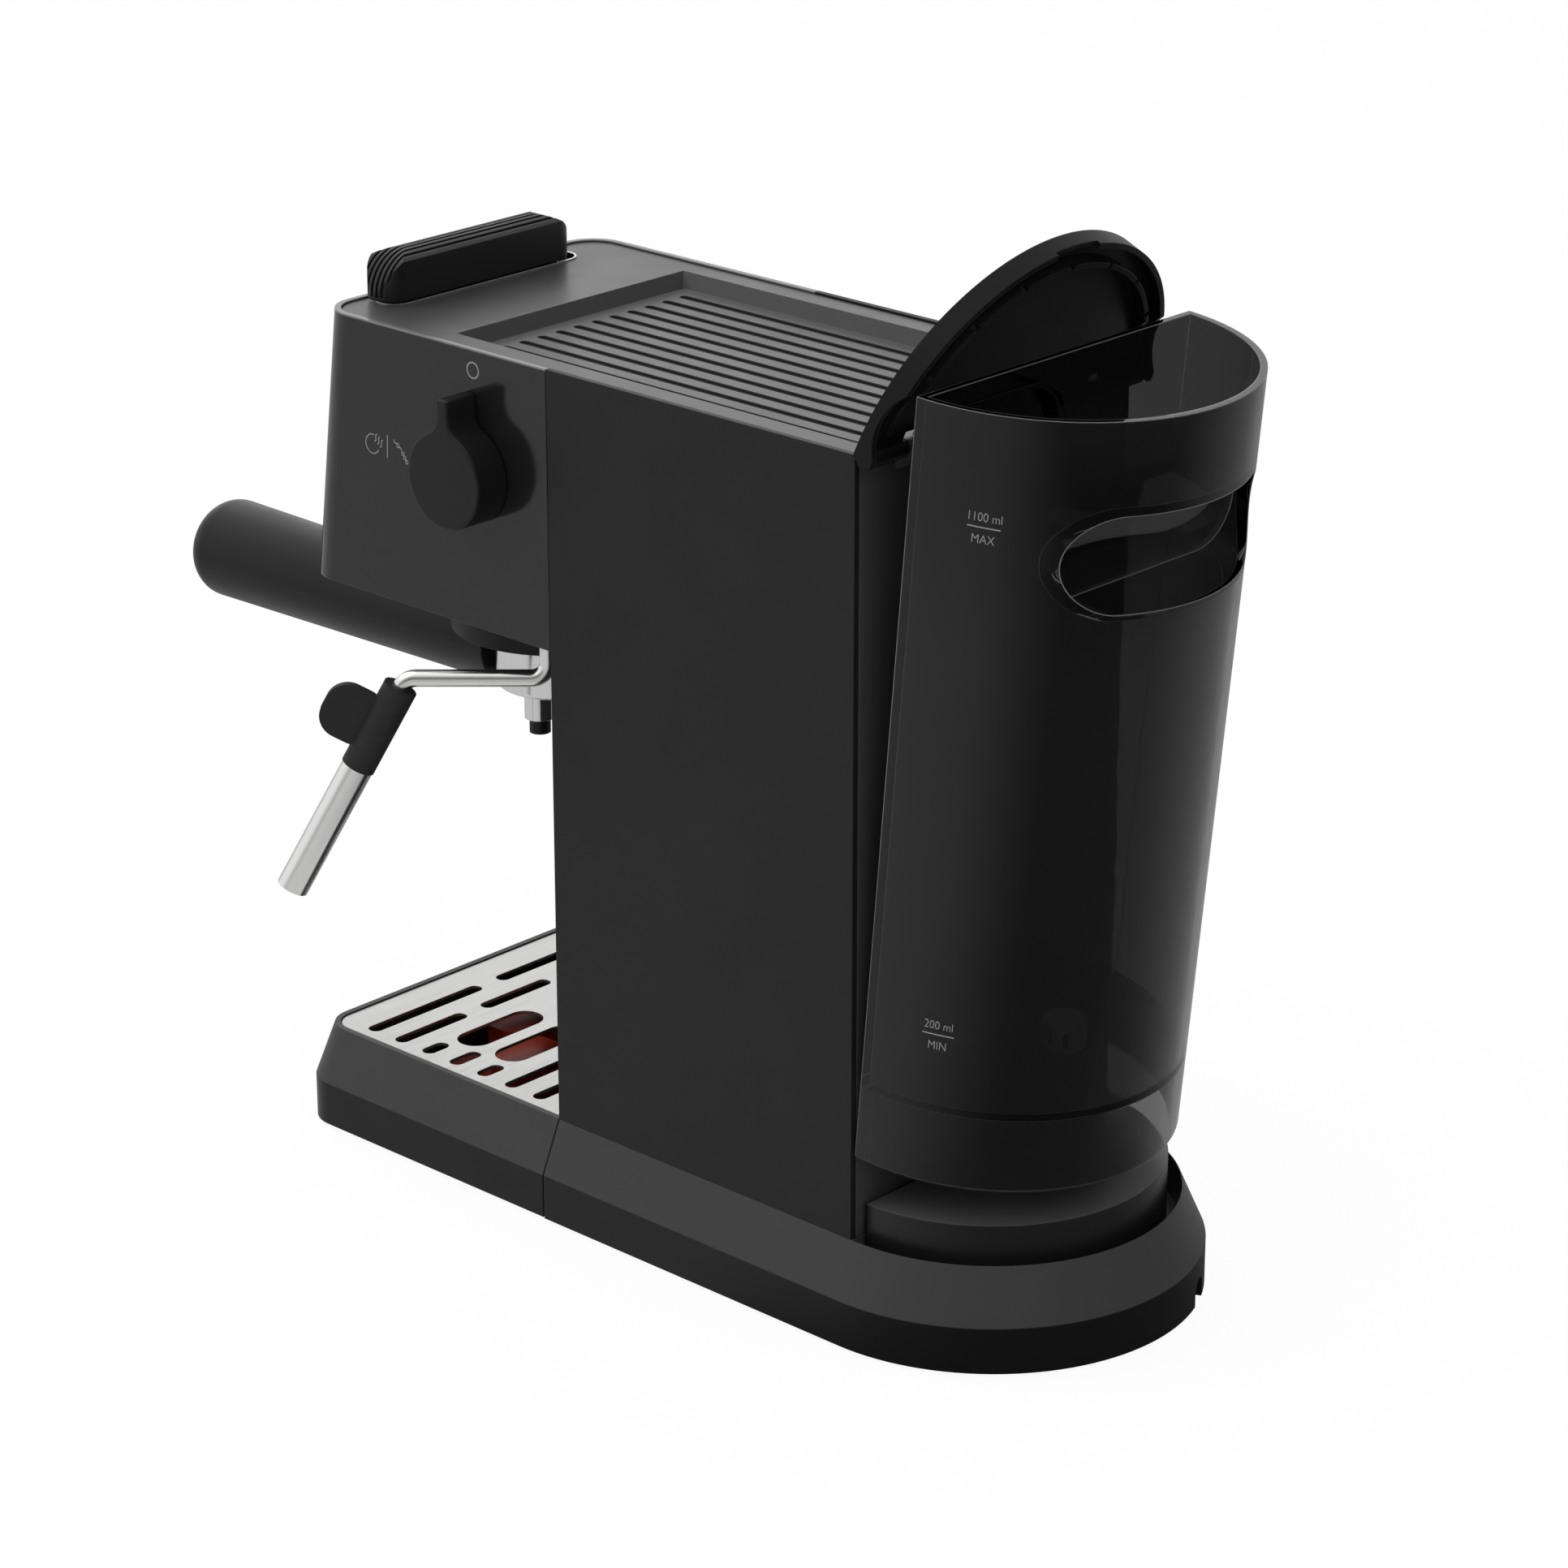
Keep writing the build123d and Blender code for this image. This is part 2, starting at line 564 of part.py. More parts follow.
def bar_cap(inset):
    """Cap of the control bar, shrunk by an inset at its top and ends."""
    height = BAR_RISE - BAR_LIFT
    side = Pos((BAR_X0 + BAR_X1) / 2, height / 2) * Rectangle(BAR_LEN, height)
    side = fillet(side.vertices().sort_by(Axis.Y)[-2:], BAR_END_R)
    if inset:
        side = offset(side, -inset)
    cap = Pos(0, BAR_Y + BAR_W / 2, PLATE_Z + BAR_LIFT) * extrude(Plane.XZ * side, BAR_W)
    return cap & rod_x(BAR_Y, PLATE_Z + BAR_RISE - BAR_DOME_R, BAR_X0 - 1, BAR_X1 + 1, BAR_DOME_R - inset)


def make_control_bar():
    """Ribbed rocker bar, round at both ends and along its top, on a stem in the slot."""
    middle = Pos((BAR_X0 + BAR_X1) / 2, BAR_Y, PLATE_Z)
    plan = extrude(middle * RectangleRounded(BAR_LEN, BAR_W, BAR_W / 2 - 0.2), BAR_RISE + 1)
    bar = bar_cap(0) & plan
    core = bar_cap(BAR_GROOVE_DEPTH)
    for index in range(BAR_GROOVES):
        y = BAR_Y + (index - (BAR_GROOVES - 1) / 2) * BAR_GROOVE_PITCH
        cutter = block(BAR_X0 - 1, BAR_X1 + 1, y - BAR_GROOVE_W / 2, y + BAR_GROOVE_W / 2,
                       PLATE_Z + BAR_LIFT + BAR_GROOVE_DEPTH, PLATE_Z + BAR_RISE + 1)
        bar -= cutter - core
    foot = RectangleRounded(BAR_LEN - 2 * STEM_INSET, STEM_W, STEM_W / 2 - 0.2)
    bar += Pos(0, 0, -BAR_SINK) * middle * extrude(foot, BAR_SINK + BAR_LIFT + 1)
    return bar - rod_x(BAR_Y, BAR_PIVOT_Z, BAR_X0 - 1, BAR_X1 + 1, BAR_PIN_R + RUN)


def make_bar_pin():
    """Steel pin that the control bar rocks on."""
    return rod_x(BAR_Y, BAR_PIVOT_Z, SLOT_X0 - POCKET_WALL + 0.4, SLOT_X1 + POCKET_WALL - 0.4, BAR_PIN_R - 0.02)


def tray_block(inset, z0):
    """Chamfered tray block."""
    rear = COLUMN_FRONT - FIT
    low = front_rounded(BASE_HALF - inset, TRAY_FRONT + inset, rear, TRAY_CORNER_R - inset)
    high = front_rounded(BASE_HALF - CHAMFER_SIDE - inset, TRAY_FRONT + CHAMFER_FRONT + inset, rear,
                         TRAY_CORNER_R - 3 - inset)
    return extrude(Pos(0, 0, z0) * low, BAND_TOP - z0) + blend(low, BAND_TOP, high, BASE_TOP)


GRILLE_HALF = BASE_HALF - CHAMFER_SIDE - TRAY_WALL
GRILLE_FRONT = TRAY_FRONT + CHAMFER_FRONT + TRAY_WALL
GRILLE_REAR = COLUMN_FRONT - FIT - TRAY_WALL
GRILLE_Z = BASE_TOP - 0.5
SLOT_END = GRILLE_HALF - SLOT_MARGIN
WINDOW_X1 = SLOT_END - WINDOW_MARGIN


def make_drip_tray():
    """Open tray with a ledge for the grille, running on the base tongue."""
    tray = tray_block(0, FOOT_H + RUN)
    well = front_rounded(GRILLE_HALF - TRAY_LEDGE, GRILLE_FRONT + TRAY_LEDGE, GRILLE_REAR - TRAY_LEDGE,
                         GRILLE_CORNER_R - TRAY_LEDGE)
    tray -= extrude(Pos(0, 0, TRAY_FLOOR) * well, 60)
    seat = front_rounded(GRILLE_HALF, GRILLE_FRONT, GRILLE_REAR, GRILLE_CORNER_R)
    tray -= extrude(Pos(0, 0, GRILLE_Z - GRILLE_T) * seat, 60)
    under = block(-TONGUE_HALF - 0.6, TONGUE_HALF + 0.6, TONGUE_FRONT - 2, 0, 0, FOOT_H + PLATE_T + RUN)
    return tray - under


def make_drip_grille():
    """Slotted steel sheet with four windows."""
    gap = 0.35
    face = front_rounded(GRILLE_HALF - gap, GRILLE_FRONT + gap, GRILLE_REAR - gap, GRILLE_CORNER_R - gap)
    sheet = extrude(Pos(0, 0, GRILLE_Z - GRILLE_T + 0.05) * face, GRILLE_T)
    middle = (GRILLE_FRONT + GRILLE_REAR) / 2
    long = SLOT_END - WINDOW_X0 + 2.0
    half = long - SLOT_LONG_CUT
    inner = SLOT_END - half - SLOT_W - SLOT_BRIDGE
    runs = {
        0: [(SLOT_END - long, SLOT_END), (-SLOT_END, long - SLOT_END)],
        1: [(SLOT_END - half, SLOT_END), (-inner, inner), (-SLOT_END, half - SLOT_END)],
        2: [(SLOT_END - SLOT_SHORT, SLOT_END), (-SLOT_END, SLOT_SHORT - SLOT_END)],
        3: [(SLOT_END - SLOT_MIDDLE, SLOT_END), (-SLOT_END, SLOT_MIDDLE - SLOT_END)],
    }
    for row in range(SLOT_ROWS):
        kind = min(row, SLOT_ROWS - 1 - row)
        y = middle + (row - (SLOT_ROWS - 1) / 2) * SLOT_PITCH
        for x0, x1 in runs[kind]:
            slot = SlotOverall(x1 - x0, SLOT_W)
            sheet -= extrude(Pos((x0 + x1) / 2, y, 0) * slot, 60)
    for side in (-1, 1):
        for step in (-1, 1):
            window = SlotOverall(WINDOW_X1 - WINDOW_X0, WINDOW_W)
            x = side * (WINDOW_X0 + WINDOW_X1) / 2
            sheet -= extrude(Pos(x, middle + step * WINDOW_OFFSET, 0) * window, 60)
    return sheet


def make_tray_float():
    """Level float: a hollow foot in the tray with two pads below the windows."""
    middle = (GRILLE_FRONT + GRILLE_REAR) / 2
    low = TRAY_FLOOR + RUN
    deck = low + FLOAT_H
    foot = block(-26, 36, middle - 29, middle + 8, low, deck)
    foot = fillet(foot.edges().filter_by(Axis.Z), 4)
    front_pad = block(-24, 18, middle - 27, middle - 13, deck - 2, FLOAT_TOP)
    rear_pad = block(8, 34, middle - 9, middle + 6, deck - 2, FLOAT_TOP - 2)
    pads = fillet(front_pad.edges().filter_by(Axis.Z), 4) + fillet(rear_pad.edges().filter_by(Axis.Z), 4)
    hollow = block(-23.5, 33.5, middle - 26.5, middle + 5.5, low - 1, deck - 2.5)
    return foot + pads - hollow


def make_group_collar():
    """Bayonet ring below the head."""
    collar = rod_z(0, GROUP_Y, COLLAR_BOTTOM, HEAD_BOTTOM, COLLAR_R)
    collar -= rod_z(0, GROUP_Y, COLLAR_BOTTOM - 1, GROUP_SEAT, FLANGE_R + 0.5)
    collar -= rod_z(0, GROUP_Y, LUG_Z0 - RUN, FLANGE_TOP + 0.6, LUG_R + 0.6)
    collar -= rod_z(0, GROUP_Y, GROUP_SEAT - 5, HEAD_BOTTOM + 10, BORE_R)
    for turn in (-TURN_DEG, 180 - TURN_DEG):
        collar -= Pos(0, GROUP_Y, 0) * Rot(0, 0, turn) * lug_sector(LUG_R + 0.6, LUG_HALF_DEG + 3,
                                                                   COLLAR_BOTTOM - 1, LUG_Z1)
    return collar


def lug_sector(radius, half_deg, z0, z1):
    """Wedge of a disc, centred on +X."""
    a = math.radians(half_deg)
    edge = (radius * math.cos(a), radius * math.sin(a))
    lines = [
        Polyline((edge[0], -edge[1]), (0, 0), edge),
        ThreePointArc(edge, (radius, 0), (edge[0], -edge[1])),
    ]
    return extrude(Pos(0, 0, z0) * make_face(Curve() + lines), z1 - z0)


def make_group_head():
    """Brass head that closes the group and passes through the head floor."""
    head = rod_z(0, GROUP_Y, GROUP_FACE, GROUP_SEAT, FLANGE_R - 0.2)
    head += rod_z(0, GROUP_Y, GROUP_SEAT, HEAD_BOTTOM + HEAD_FLOOR_T, BORE_R - 0.4)
    return head - rod_z(0, GROUP_Y, GROUP_FACE - 1, HEAD_BOTTOM + 10, 2.0)


def make_shower_screen():
    """Perforated screen under the group head."""
    screen = rod_z(0, GROUP_Y, GROUP_FACE - 1, GROUP_FACE, 22.0)
    screen -= rod_z(0, GROUP_Y, GROUP_FACE - 3, GROUP_FACE + 3, 1.6)
    for ring, count in ((7, 8), (13, 14), (18.5, 20)):
        for index in range(count):
            angle = 2 * math.pi * index / count
            x = ring * math.cos(angle)
            y = GROUP_Y + ring * math.sin(angle)
            screen -= rod_z(x, y, GROUP_FACE - 3, GROUP_FACE + 3, 0.7)
    return screen


def make_screen_screw():
    """Screw that holds the shower screen."""
    low = GROUP_FACE - 1
    return rod_z(0, GROUP_Y, low - 0.8, low, 3.4) + rod_z(0, GROUP_Y, low, low + 5.1, 1.5)


def make_group_gasket():
    """Rubber ring that the basket rim seals against."""
    ring = rod_z(0, GROUP_Y, GROUP_FACE - 2.2, GROUP_FACE, FLANGE_R - 0.2)
    return ring - rod_z(0, GROUP_Y, GROUP_FACE - 3, GROUP_FACE + 1, 23.5)


def make_boiler():
    """Heater block standing on the head floor."""
    floor = HEAD_BOTTOM + HEAD_FLOOR_T
    body = rod_z(0, GROUP_Y, floor, BOILER_TOP, BOILER_R)
    for z in range(9, int(BOILER_TOP - floor) - 3, 8):
        body += rod_z(0, GROUP_Y, floor + z, floor + z + 2, BOILER_R + 2.5)
    stub = rod_z(0, GROUP_Y, BOILER_TOP, BOILER_TOP + 6, 5.0)
    return body + stub - rod_z(0, GROUP_Y, BOILER_TOP - 10, BOILER_TOP + 7, HOSE_BORE)


def make_thermostat():
    """Button thermostat on the heater block."""
    button = rod_z(14, GROUP_Y - 12, BOILER_TOP, BOILER_TOP + 5, 8.0)
    for side in (-1, 1):
        x = 14 + side * 4
        button += block(x - 1.5, x + 1.5, GROUP_Y - 12.4, GROUP_Y - 11.6, BOILER_TOP + 5, BOILER_TOP + 11)
    return button


def make_portafilter_body():
    """Chrome filter holder with two bayonet lugs and twin spout bosses."""
    body = rod_z(0, GROUP_Y, CUP_BOTTOM, FLANGE_TOP, CUP_R)
    body = fillet(body.edges().filter_by(GeomType.CIRCLE).sort_by(Axis.Z)[0], 2.0)
    body += rod_z(0, GROUP_Y, COLLAR_BOTTOM + 0.8, FLANGE_TOP, FLANGE_R)
    for turn in (0, 180):
        wedge = lug_sector(LUG_R, LUG_HALF_DEG, LUG_Z0, LUG_Z1)
        body += Pos(0, GROUP_Y, 0) * Rot(0, 0, turn) * wedge
    body -= rod_z(0, GROUP_Y, CUP_BOTTOM + 3, FLANGE_TOP + 1, BASKET_R + 0.4)
    for side in (-1, 1):
        body += rod_z(side * SPOUT_X, GROUP_Y, SPOUT_BOTTOM, CUP_BOTTOM + 1, SPOUT_R)
        body -= rod_z(side * SPOUT_X, GROUP_Y, SPOUT_BOTTOM - 1, CUP_BOTTOM + 4, 1.8)
        body -= rod_z(side * SPOUT_X, GROUP_Y, SPOUT_BOTTOM - 1, SPOUT_BOTTOM + 4, OUTLET_R)
    neck = rod_y(0, HANDLE_Z, GROUP_Y - CUP_R - 6, GROUP_Y - BASKET_R - 1, NECK_R)
    return body + neck - rod_z(0, GROUP_Y, CUP_BOTTOM + 3, FLANGE_TOP + 1, BASKET_R + 0.4)


def make_filter_basket():
    """Perforated coffee basket with a rim."""
    floor = CUP_BOTTOM + 7
    basket = rod_z(0, GROUP_Y, floor, FLANGE_TOP, BASKET_R)
    basket += rod_z(0, GROUP_Y, FLANGE_TOP, FLANGE_TOP + 0.8, FLANGE_R - 2)
    basket -= rod_z(0, GROUP_Y, floor + 0.8, FLANGE_TOP + 2, BASKET_R - 0.8)
    for ring, count in ((5, 6), (10, 12), (15, 18)):
        for index in range(count):
            angle = 2 * math.pi * index / count
            basket -= rod_z(ring * math.cos(angle), GROUP_Y + ring * math.sin(angle), floor - 1, floor + 2, 0.5)
    return basket


def make_spout_outlets():
    """Black nozzles in the two spout bosses."""
    outlets = []
    for side in (-1, 1):
        x = side * SPOUT_X
        nozzle = rod_z(x, GROUP_Y, OUTLET_BOTTOM, SPOUT_BOTTOM + 4, OUTLET_R)
        nozzle += rod_z(x, GROUP_Y, OUTLET_BOTTOM, SPOUT_BOTTOM, OUTLET_R + 0.6)
        outlets.append(nozzle - rod_z(x, GROUP_Y, OUTLET_BOTTOM - 1, SPOUT_BOTTOM + 5, 1.8))
    return outlets


def make_portafilter_handle():
    """Moulded handle, round at its end, cut away under the collar."""
    root = GROUP_Y - CUP_R - 0.2
    bend = HANDLE_CAP * (1 - math.sqrt(0.5))
    profile = [
        Line((0, root), (HANDLE_NECK_R, root)),
        Line((HANDLE_NECK_R, root), (HANDLE_R, HANDLE_END + HANDLE_CAP)),
        ThreePointArc((HANDLE_R, HANDLE_END + HANDLE_CAP), (HANDLE_R - bend, HANDLE_END + bend),
                      (HANDLE_R - HANDLE_CAP, HANDLE_END)),
        Line((HANDLE_R - HANDLE_CAP, HANDLE_END), (0, HANDLE_END)),
        Line((0, HANDLE_END), (0, root)),
    ]
    grip = Pos(0, 0, HANDLE_Z) * revolve(make_face(Curve() + profile), Axis.Y)
    grip -= rod_z(0, GROUP_Y, COLLAR_BOTTOM - HANDLE_CLEAR, HANDLE_Z + HANDLE_R + 1, COLLAR_R + 1.5)
    grip -= rod_y(0, HANDLE_Z, GROUP_Y - CUP_R - 6, root + 1, NECK_R)
    return grip - rod_z(0, GROUP_Y, HANDLE_Z - HANDLE_R - 1, HANDLE_Z + HANDLE_R + 1, CUP_R + 0.05)


WAND_DIR = (math.cos(math.radians(WAND_AZ)), math.sin(math.radians(WAND_AZ)))
LEAN_SIN = math.sin(math.radians(WAND_LEAN))
LEAN_COS = math.cos(math.radians(WAND_LEAN))


def wand_point(out, down):
    """Point in the plane of the wand, from its bend above the grip."""
    reach = WAND_OUT + out
    return (WAND_X + WAND_DIR[0] * reach, WAND_Y + WAND_DIR[1] * reach, WAND_Z - down)


def wand_along(length):
    """Point on the leaning axis of grip and tip."""
    return wand_point(length * LEAN_SIN, length * LEAN_COS)


def wand_rod(start, end, radius):
    """Cylinder on the leaning axis of grip and tip."""
    a = Vector(wand_along(start))
    axis = Vector(wand_along(end)) - a
    face = Plane(origin=a, z_dir=axis) * Circle(radius)
    return extrude(face, axis.length)


def make_steam_swivel():
    """Bush in the head floor that the wand turns in."""
    floor = HEAD_BOTTOM + HEAD_FLOOR_T
    bush = rod_z(WAND_X, WAND_Y, HEAD_BOTTOM - 3.5, floor, BUSH_R)
    bush += rod_z(WAND_X, WAND_Y, floor, floor + 5, BUSH_R + 2.5)
    return bush - rod_z(WAND_X, WAND_Y, HEAD_BOTTOM - 5, floor + 6, PIPE_R + RUN)


def make_steam_pipe():
    """Bent steel pipe from the swivel to the grip."""
    top = (WAND_X, WAND_Y, HEAD_BOTTOM + HEAD_FLOOR_T + 4)
    end = wand_along(GRIP_START + GRIP_LEN - 10)
    pipe = tube([top, (WAND_X, WAND_Y, WAND_Z), wand_point(0, 0), end], WAND_BEND_R, PIPE_R, 1.6)
    head = rod_z(WAND_X, WAND_Y, top[2] + 1.3, top[2] + 3.5, PIPE_R + 1.8)
    neck = rod_z(WAND_X, WAND_Y, top[2] - 2, top[2] + 3.5, PIPE_R)
    return pipe + head + neck - rod_z(WAND_X, WAND_Y, top[2] - 3, top[2] + 5, 1.6)


def make_steam_grip():
    """Rubber sleeve with a flat finger tab."""
    sleeve = wand_rod(GRIP_START, GRIP_START + GRIP_LEN, GRIP_R)
    mid = Vector(wand_along(GRIP_START + TAB_MID))
    along = (Vector(wand_along(1)) - Vector(wand_along(0)))
    outward = Vector(WAND_DIR[0] * LEAN_COS, WAND_DIR[1] * LEAN_COS, LEAN_SIN)
    across = along.cross(outward)
    plane = Plane(origin=mid - across * (TAB_T / 2), x_dir=outward, z_dir=across)
    tab = extrude(plane * (Pos(TAB_REACH / 2, 0) * RectangleRounded(TAB_REACH, TAB_LEN, 8)), TAB_T)
    sleeve += tab
    sleeve -= wand_rod(0, GRIP_START + GRIP_LEN + 1, PIPE_R + 0.02)
    return sleeve - wand_rod(GRIP_START + GRIP_LEN - 6, GRIP_START + GRIP_LEN + 1, TIP_R - 1.4)


def make_steam_tip():
    """Steel frothing tube below the grip, open at its end."""
    start = GRIP_START + GRIP_LEN
    tip = wand_rod(start, WAND_LEN, TIP_R) + wand_rod(start - 5.8, start, TIP_R - 1.45)
    tip -= wand_rod(start - 7, start + 8, PIPE_R + 0.02)
    return tip - wand_rod(start + 6, WAND_LEN + 1, TIP_R - 1.1)


def make_steam_knob():
    """Knob with a pointer tab, turned about X."""
    disc = Circle(KNOB_R) + Pos(0, KNOB_TAB_TOP / 2) * Rectangle(KNOB_TAB_W, KNOB_TAB_TOP)
    joints = [v for v in disc.vertices() if abs(abs(v.X) - KNOB_TAB_W / 2) < 0.1 and v.Y < KNOB_TAB_TOP - 1]
    disc = fillet(joints, 7.0)
    tips = disc.vertices().sort_by(Axis.Y)[-2:]
    disc = fillet(tips, 1.0)
    knob = extrude(Plane.YZ * disc, KNOB_T)
    knob = fillet(knob.faces().sort_by(Axis.X)[-1].edges(), 0.8)
    knob = Pos(COLUMN_HALF + 0.5, KNOB_Y, KNOB_Z) * knob
    return knob - rod_x(KNOB_Y, KNOB_Z, COLUMN_HALF - 1, COLUMN_HALF + 9, SHAFT_R)


VALVE_X1 = WAND_X


def make_knob_shaft():
    """Steel spindle between knob and steam valve."""
    return rod_x(KNOB_Y, KNOB_Z, VALVE_X1 - 9, COLUMN_HALF + 9, SHAFT_R)


def make_steam_valve():
    """Steam tap with a foot on the head floor."""
    floor = HEAD_BOTTOM + HEAD_FLOOR_T
    valve = block(VALVE_X1 - 22, VALVE_X1, KNOB_Y - 11, KNOB_Y + 11, KNOB_Z - 11, KNOB_Z + 11)
    valve += block(VALVE_X1 - 14, VALVE_X1 - 2, KNOB_Y - 5, KNOB_Y + 6, floor, KNOB_Z - 10)
    valve += block(VALVE_X1 - 20, VALVE_X1 + 2, KNOB_Y - 9, KNOB_Y + 8, floor, floor + 2.4)
    return valve - rod_x(KNOB_Y, KNOB_Z, VALVE_X1 - 10, VALVE_X1 + 1, SHAFT_R + 0.3)


def make_steam_hose():
    """Tube from the steam tap to the wand swivel."""
    head = HEAD_BOTTOM + HEAD_FLOOR_T + 8
    start = (WAND_X - 6, KNOB_Y + 11, KNOB_Z - 4)
    above = (WAND_X, WAND_Y, KNOB_Z - 29.4)
    return tube([start, (WAND_X - 6, WAND_Y, KNOB_Z - 4), above, (WAND_X, WAND_Y, head)], 5.0, 3.0, 1.6)


def make_tank_seat():
    """Plinth that the tank skirt drops over, with the inlet socket."""
    inset = SEAT_R
    face = half_disc(inset) & Pos(0, inset) * Rectangle(3 * inset, 2 * inset)
    seat = extrude(Pos(0, TANK_FRONT, TANK_BOTTOM - MOAT_DROP) * face, SEAT_TOP - TANK_BOTTOM + MOAT_DROP)
    hollow = Pos(0, TANK_FRONT + 3, TANK_BOTTOM - MOAT_DROP - 1) * half_disc(inset - 5)
    seat -= extrude(hollow, SEAT_TOP - TANK_BOTTOM - 2.4)
    seat += rod_z(0, SOCKET_Y, SOCKET_FOOT, SEAT_TOP, SOCKET_R + SOCKET_WALL)
    seat -= rod_z(0, SOCKET_Y, SOCKET_FOOT + SOCKET_WALL, SEAT_TOP + 1, SOCKET_R)
    return seat - rod_y(0, HOSE_Z, SOCKET_Y - 20, SOCKET_Y, HOSE_BORE)


def make_inlet_seal():
    """Rubber ring round the tank nipple."""
    y = TANK_FRONT + NIPPLE_Y
    bottom = TANK_BOTTOM + TANK_FLOOR - NIPPLE_LEN - 0.4
    ring = rod_z(0, y, bottom, bottom + SEAL_H, NIPPLE_R + 2.0)
    return tank_rest(ring - rod_z(0, y + 0.4, bottom - 1, bottom + SEAL_H + 1, NIPPLE_R + RUN + 0.4))


def tank_cone(inset, z0, z1, front):
    """Tapered half-round tank body between two heights above the skirt edge."""
    def radius(z):
        return TANK_R_LOW + (TANK_R_HIGH - TANK_R_LOW) * z / TANK_H - inset
    deep = 3 * TANK_R_HIGH
    low = half_disc(radius(z0)) & Pos(0, deep / 2 + front) * Rectangle(2 * deep, deep)
    high = half_disc(radius(z1)) & Pos(0, deep / 2 + front) * Rectangle(2 * deep, deep)
    return Pos(0, TANK_FRONT, TANK_BOTTOM) * blend(low, z0, high, z1)


def make_water_tank():
    """Half-round tank with a skirt, a finger recess and a sloping rim."""
    high = TANK_H + 8
    tank = tank_cone(0, TANK_EDGE, high, 0)
    rim_low = half_disc(TANK_R_LOW - TANK_EDGE)
    rim_high = half_disc(TANK_R_LOW + TANK_TAPER * TANK_EDGE / TANK_H)
    tank += Pos(0, TANK_FRONT, TANK_BOTTOM) * blend(rim_low, 0, rim_high, TANK_EDGE)
    inside = tank_cone(TANK_WALL, TANK_FLOOR + TANK_FLOOR_T, high + 1, TANK_WALL)
    rear = TANK_FRONT + TANK_R_HIGH
    z0 = TANK_BOTTOM + GRIP_Z0
    z1 = TANK_BOTTOM + GRIP_Z1
    mid = (z0 + z1) / 2
    window = SlotOverall(2 * GRIP_HALF, GRIP_H)
    pocket = extrude(Plane((0, rear + 1, mid), x_dir=(1, 0, 0), z_dir=(0, -1, 0)) * window, GRIP_DEPTH + 1)
    sleeve_face = SlotOverall(2 * (GRIP_HALF + TANK_WALL), GRIP_H + 2 * TANK_WALL)
    sleeve = extrude(Plane((0, rear + 1, mid), x_dir=(1, 0, 0), z_dir=(0, -1, 0)) * sleeve_face,
                     GRIP_DEPTH + 1 + TANK_WALL)
    tank -= inside - sleeve
    tank -= pocket
    tank -= tank_cone(TANK_WALL, -1, TANK_FLOOR, -5)
    tank -= block(TANK_WALL - TANK_R_LOW, TANK_R_LOW - TANK_WALL, TANK_FRONT - 5, TANK_FRONT + 5, 0,
                  TANK_BOTTOM + TANK_FLOOR)
    wide = 2 * TANK_R_HIGH
    rim = Pos(0, 0, TANK_R_HIGH) * Box(2 * wide, 2 * wide, wide)
    tank -= Pos(0, TANK_FRONT, TANK_BOTTOM + TANK_H) * Rot(RIM_RISE_DEG, 0, 0) * rim
    tank -= rod_z(0, TANK_FRONT + NIPPLE_Y, TANK_BOTTOM, TANK_BOTTOM + TANK_FLOOR + 5, NIPPLE_R)
    return tank_rest(tank)


def make_tank_valve():
    """Valve insert: a nipple below the tank floor and a head inside."""
    y = TANK_FRONT + NIPPLE_Y
    floor = TANK_BOTTOM + TANK_FLOOR
    valve = rod_z(0, y, floor - NIPPLE_LEN, floor + TANK_FLOOR_T, NIPPLE_R - 0.02)
    valve += rod_z(0, y, floor + TANK_FLOOR_T, floor + TANK_FLOOR_T + 5, NIPPLE_R + 3)
    valve -= rod_z(0, y, floor - NIPPLE_LEN - 1, floor + TANK_FLOOR_T + 6, NIPPLE_R - 2)
    return tank_rest(valve)


def make_tank_filter():
    """Mesh cap over the tank valve."""
    y = TANK_FRONT + NIPPLE_Y
    z = TANK_BOTTOM + TANK_FLOOR + TANK_FLOOR_T + 5
    cap = rod_z(0, y, z, z + 9, NIPPLE_R + 1.5) - rod_z(0, y, z - 1, z + 8, NIPPLE_R)
    for index in range(8):
        slot = block(0, 20, -0.9, 0.9, z + 1.5, z + 7)
        cap -= Pos(0, y, 0) * Rot(0, 0, index * 45) * slot
    return tank_rest(cap)


